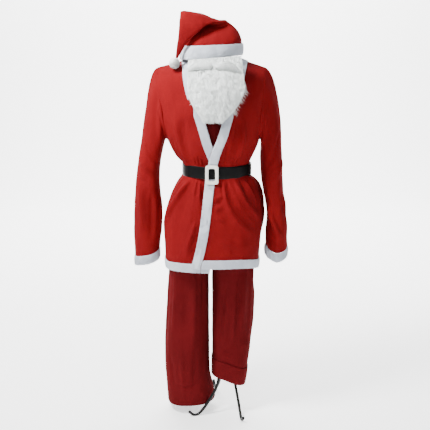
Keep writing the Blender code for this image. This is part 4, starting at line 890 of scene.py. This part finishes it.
def beard_pad():
    """The backing, a smooth curved pad a little inside its solid."""
    low, high, tall, wide = 1.128, 1.338, 36, 41
    zz, qq = np.meshgrid(np.linspace(low, high, tall), np.linspace(-1, 1, wide), indexing="ij")
    x = qq * hair_edge(qq, zz) * 0.97
    y = beard_front(x, zz) + 6 * MM * np.abs(qq) ** 3 + 1.5 * MM
    zz = low + (zz - low) / (high - low) * (hat_edge(x) - 0.8 * MM - low)
    front = (np.stack([x, y, zz], -1) + MID).reshape(-1, 3)
    front[:, 1] += 2.0 * MM * wrinkles(front, (30, 30, 22), 91)
    points = np.concatenate([front, front + np.array([0, 5.5 * MM, 0])])
    faces = []
    base = tall * wide
    for i in range(tall - 1):
        for j in range(wide - 1):
            a = i * wide + j
            d = a + wide
            faces.append((a, a + 1, d + 1, d))
            faces.append((base + d, base + d + 1, base + a + 1, base + a))
    for j in range(wide - 1):
        top = base - wide + j
        faces.append((base + j, base + j + 1, j + 1, j))
        faces.append((top, top + 1, base + top + 1, base + top))
    for a in range(0, base - wide, wide):
        d = a + wide
        faces.append((base + a, a, d, base + d))
        faces.append((d - 1, base + d - 1, base + d + wide - 1, d + wide - 1))
    ob = mesh_object("beard_backing", points, np.array(faces), hair_base)
    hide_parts("beard")
    return ob


def beard_hair():
    """Locks laid in rows from the bottom up, each of crimped strands that draw together to their ends."""
    rows_up, across, per_lock, points_each = 18, 24, 17, 10
    locks = []
    for row, height in enumerate(np.linspace(1.148, 1.345, rows_up)):
        for k in range(across):
            q = -0.97 + 1.94 * (k + 0.5 * (row % 2) + 0.35 * rng.normal()) / (across - 0.5)
            locks.append((np.clip(q, -0.99, 0.99), height + 4 * MM * rng.normal()))
    locks = np.array(locks)
    n = len(locks) * per_lock

    def strands(per_strand):
        return np.repeat(per_strand, per_lock)

    q, z0 = strands(locks[:, 0]), strands(locks[:, 1])
    reach = strands(0.050 + 0.018 * rng.random(len(locks))) * (0.85 + 0.3 * rng.random(n))
    reach = np.minimum(reach, z0 - 1.1300 + 0.010 * rng.random(n))[:, None]
    phase = (strands(rng.random(len(locks)) * TURN) + 0.5 * rng.normal(size=n))[:, None]
    wave = strands(0.0022 + 0.0022 * rng.random(len(locks)))[:, None]
    beat = strands(0.020 + 0.010 * rng.random(len(locks)))[:, None]
    drift = strands(0.10 * rng.normal(size=len(locks))) + 0.05 * rng.normal(size=n)
    start = 0.0050 * rng.normal(size=(n, 2))
    t = np.linspace(0, 1, points_each)[None]
    crimp = t * reach / beat * TURN + phase
    z = z0[:, None] + start[:, 1:2] * (1 - 0.5 * t) - reach * t
    x = (q * hair_edge(q, z0))[:, None] + start[:, :1] * (1 - 0.55 * t)
    x = x + (0.20 * q + drift)[:, None] * reach * t ** 1.2
    x = x + wave * np.sin(crimp) * np.minimum(t * 3, 1)
    # the beard narrows to a rounded end, and its hair draws in with it
    zc = np.clip(z, 1.120, 1.340)
    limit = hair_edge(x, zc) + np.where(x >= 0, 1 * MM, 0)
    past = np.abs(x) - limit
    x = np.where(past > 0, np.sign(x) * (limit + past * 0.14), x)
    # locks stand off in the middle of their length, over lumps of two sizes and one cross crease
    flat = np.stack([x.ravel(), 0 * x.ravel(), z.ravel()], -1)
    lift = 1.5 * MM + 5.8 * MM * np.sin(np.minimum(t * 1.15, 1) * math.pi) + 2.2 * MM * t
    lift = lift + 1.6 * MM * rng.random((n, 1)) + 1.2 * MM * np.cos(crimp)
    lift = lift + 5.2 * MM * wrinkles(flat, (34, 1, 46), 131).reshape(x.shape)
    lift = lift + 2.4 * MM * noise(flat, (105, 1, 130), 133).reshape(x.shape)
    proud = strands(4.2 * rng.random(len(locks)) - 1.2)[:, None] * MM
    lift = lift + proud * np.sin(np.minimum(t * 1.3, 1) * 2.6)
    cross_crease = np.exp(-((z - 1.2225 - 0.10 * (x + 0.05)) / 0.006) ** 2)
    lift = lift - 5.0 * MM * cross_crease * (1 - ease(-0.045, -0.015, x))
    y = beard_front(x, zc) + 6 * MM * np.abs(q)[:, None] ** 3 - lift
    paths = np.stack([x, y, z], -1) + MID
    paths[..., 2] = np.minimum(paths[..., 2], hat_edge(x) - 0.4 * MM)
    facing = np.zeros_like(paths) + np.array([0.0, -1.0, 0.0])
    facing[..., 0] = x * 3.0
    facing = facing + 0.35 * rng.normal(size=(n, 1, 3))
    return ribbons("beard_hair", paths, 0.00055 + 0.00035 * rng.random(n), unit(facing))


def beard_wisps():
    """Loose ends that stand off the beard's edges, most on the left, and its tip."""
    at_left, at_right, at_tip = 120, 30, 60
    n = at_left + at_right + at_tip
    t = np.linspace(0, 1, 8)[None]
    z0 = np.concatenate([1.160 + 0.13 * rng.random(n - at_tip), 1.130 + 0.02 * rng.random(at_tip)])
    side = np.repeat([1.0, -1.0, 0.0], [at_left, at_right, at_tip])
    tip = -0.033 + 0.048 * rng.random(n)
    x0 = np.where(side == 0, tip, side * hair_edge(side, z0) * (0.90 + 0.08 * rng.random(n)))
    reach = np.where(side > 0, 0.008 + 0.018 * rng.random(n) * (z0 < 1.27),
                     z0 - 1.1275 + 0.010 * rng.random(n))
    reach = np.where(side < 0, 0.007 + 0.006 * rng.random(n), reach)
    out = np.where(side == 0, 0.25 * rng.normal(size=n), side * (0.45 + 0.4 * rng.random(n)))
    x = x0[:, None] + out[:, None] * reach[:, None] * t + 0.0012 * np.sin(t * 9 + rng.random((n, 1)) * 6)
    z = z0[:, None] - reach[:, None] * t * (0.75 + 0.3 * rng.random((n, 1)))
    y = beard_front(x, np.clip(z, 1.12, 1.34)) + 0.004 - 0.004 * t - 0.003 * rng.random((n, 1))
    paths = np.stack([x, y, z], -1) + MID
    facing = unit(np.array([0.0, -1.0, 0.0]) + 0.4 * rng.normal(size=(n, 1, 3)) + 0 * paths)
    return ribbons("beard_wisps", paths, np.full(n, 0.0006), facing)


# Here z is the share of the way from the middle to the moustache's tip
MOUSTACHE = rows("z x height thick", (0.00, 0.0025, 1.31, 0.006), (0.15, 0.015, 1.311, 0.01),
                 (0.35, 0.033, 1.314, 0.0125), (0.55, 0.052, 1.313, 0.012), (0.75, 0.069, 1.308, 0.009),
                 (0.9, 0.08, 1.301, 0.0055), (1.00, 0.086, 1.296, 0.0025))


def moustache_line(x, share):
    """The height, depth and thickness of a moustache half at x, which is share of its length out."""
    height = at(MOUSTACHE, "height", share)
    thick = at(MOUSTACHE, "thick", share)
    return height, beard_front(x, height) - 7.0 * MM - thick * 0.8, thick


def moustache(side):
    node = "moustache_" + side

    def centre(p):
        share = np.clip(np.abs(p[:, 0] - MID[0] + 0.005) / 0.086, 0, 1)
        height, depth, _ = moustache_line(p[:, 0] - MID[0], share)
        return np.stack([p[:, 0] - OUTER[side] * 0.5 * MM, depth + MID[1], height], -1)

    core = Panel(node, 2, crease=0.0).face_on(centre)
    core.press(-1.3 * MM + 0.5 * MM * noise(core.co, 90, 95))
    core.make(node + "_core", hair_base, "beard_white", sharp=180.0)
    n = 900
    start = 0.02 + 0.55 * rng.random((n, 1)) ** 1.2
    length = 0.28 + 0.30 * rng.random((n, 1))
    t = np.linspace(0, 1, 9)[None]
    share = np.minimum(start + length * t, 1.02)
    turn = rng.random((n, 1)) * 2 * math.pi + 0.5 * (t - 0.5)
    x = -0.005 + OUTER[side] * (at(MOUSTACHE, "x", share) + np.maximum(share - 1, 0) * 0.1)
    height, depth, thick = moustache_line(x, share)
    r = thick * (0.92 + 0.30 * rng.random((n, 1)))
    r = r + 1.6 * MM * np.sin(share * 30 + TURN * rng.random((n, 1))) * np.minimum(t * 4, 1)
    r = r + 2.2 * MM * t ** 2 * rng.random((n, 1))
    paths = np.stack([x, depth - 0.82 * r * np.cos(turn), height + r * np.sin(turn)], -1) + MID
    facing = unit(np.stack([0 * x, -np.cos(turn), np.sin(turn)], -1))
    ribbons(node + "_hair", paths, 0.0006 + 0.0003 * rng.random(n), facing)


pieces["beard"] = beard_pad()
beard_hair()
beard_wisps()
moustache("left")
moustache("right")


def pompom():
    centre = np.array([-0.1412, -0.0552, 1.3190]) + MID
    bm = bmesh.new()
    bmesh.ops.create_icosphere(bm, subdivisions=4, radius=0.0125)
    core = np.array([v.co for v in bm.verts])
    faces = np.array([[v.index for v in f.verts] for f in bm.faces])
    bm.free()
    core = core * (1 + 0.10 * noise(core, 160, 97))[:, None] + centre
    ob = mesh_object("pompom_core", core, faces, pompom_white)
    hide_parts("hat_pompom")
    n = 5200
    way = unit(rng.normal(size=(n, 3)))
    lean = unit(way + 0.45 * swirl(way, 3.5, 98) + 0.22 * rng.normal(size=(n, 3)) + np.array([0, 0, -0.15]))
    reach = 0.0068 + 0.0028 * rng.random((n, 1))
    roots = centre + way * 0.0118
    tuft_mesh("pompom_pile", roots, roots + lean * reach, np.full(n, 0.0006), pompom_white)


pompom()


# Belt, buckle, stitching

def belt():
    panel = Panel("belt_strap", 2, crease=0.9).face_on(body_centre)
    p = panel.co
    # a groove runs along each edge
    across = np.abs(p[:, 2] - BELT_Z) / 0.0215
    groove = np.exp(-((across - 0.86) / 0.05) ** 2)
    panel.press(0.35 * MM * (noise(p, (30, 30, 60), 111) - groove))
    pieces["belt_strap"] = panel.make("strap_belt", belt_black, "belt_black", sharp=60.0)


def buckle():
    def centre(p):
        c = np.zeros_like(p)
        c[:, 0] = -0.011 + MID[0]
        c[:, 1] = p[:, 1] + 0.02
        c[:, 2] = 0.935
        return c

    panel = Panel("belt_buckle", 2, crease=0.35, sharp=60.0).face_on(centre)
    panel.make("frame_buckle", buckle_cream, "buckle_white", sharp=70.0)


belt()
buckle()


def stitches(name, path, normal, step, long, thick=0.32):
    """A row of short thread stitches along a line, sizes in mm."""
    seg = np.linalg.norm(np.diff(path, axis=0), axis=1)
    run = np.concatenate([[0], np.cumsum(seg)])
    s = np.arange(0.5 * step * MM, run[-1] - step * MM, step * MM)
    place = np.stack([np.interp(s, run, path[:, k]) for k in range(3)], -1)
    ahead = np.stack([np.interp(s + long * MM, run, path[:, k]) for k in range(3)], -1)
    n = unit(np.stack([np.interp(s, run, normal[:, k]) for k in range(3)], -1))
    side = unit(np.cross(ahead - place, n))
    mid = (place + ahead) / 2
    half = side * thick * MM
    pts = np.stack([place, mid + half, mid + n * thick * 1.3 * MM, mid - half, ahead], 1)
    corners = np.array([(0, 1, 2), (0, 2, 3), (4, 2, 1), (4, 3, 2)])
    faces = (np.arange(len(s))[:, None, None] * 5 + corners).reshape(-1, 3)
    return mesh_object(name, pts.reshape(-1, 3), faces, thread_red)


def outer_line(panel_ob, height, centre):
    """A line round the outside of a finished piece, by rays from outside to its centre."""
    tree = BVHTree.FromObject(panel_ob, bpy.context.evaluated_depsgraph_get())
    line, normals = [], []
    for deg in np.arange(0, 361, 2.5):
        a = math.radians(deg)
        way = Vector((math.sin(a), -math.cos(a), 0))
        c = Vector((centre[0], centre[1], height(deg)))
        hit = tree.ray_cast(c + way * 0.35, -way)
        if hit[0] is None:
            continue
        line.append(np.array(hit[0] + way * 0.15 * MM))
        normals.append(np.array(way))
    return np.array(line), np.array(normals)


def turn_up_stitch_height(degrees):
    """Stitches follow the turn-up's edge, which hangs lower towards the outer side."""
    outward = LEG_AXIS["left"] + 0.075 * math.sin(math.radians(degrees))
    return 0.150 - 0.42 * max(outward - 0.025, 0)


line, normals = outer_line(pieces["trouser_waistband"], lambda degrees: 1.1165, MID)
stitches("thread_waistband", line, normals, step=3.4, long=2.4)
leg_mid = MID + np.array([LEG_AXIS["left"], 0, 0])
line, normals = outer_line(pieces["turn_up_left"], turn_up_stitch_height, leg_mid)
stitches("thread_turn_up", line, normals, step=4.0, long=2.8)


# Dress form and stand

def stand_leg(leg):
    """A rod a little thicker than its solid, with its underside still flat on the floor."""
    panel = Panel("stand_leg_" + leg, 2, sharp=75.0)
    panel.out = unit(panel.at_corners(quad_normals(panel.co[panel.quads])))
    panel.press(np.where(panel.co[:, 2] < 0.6 * MM, 0.0, 1.5 * MM))
    panel.co[:, 2] = np.maximum(panel.co[:, 2], 0.0)
    panel.make("rod_leg_" + leg, iron, "iron_black", sharp=60.0)


for leg in ("left", "right", "back"):
    stand_leg(leg)
for node, material in (("form_torso", linen), ("form_finial", wood), ("stand_pole", iron),
                       ("stand_hub", iron)):
    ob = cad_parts[node]
    ob.data.materials.clear()
    ob.data.materials.append(material)
    ob.data.shade_smooth()
    ob.data.set_sharp_from_angle(angle=math.radians(40))
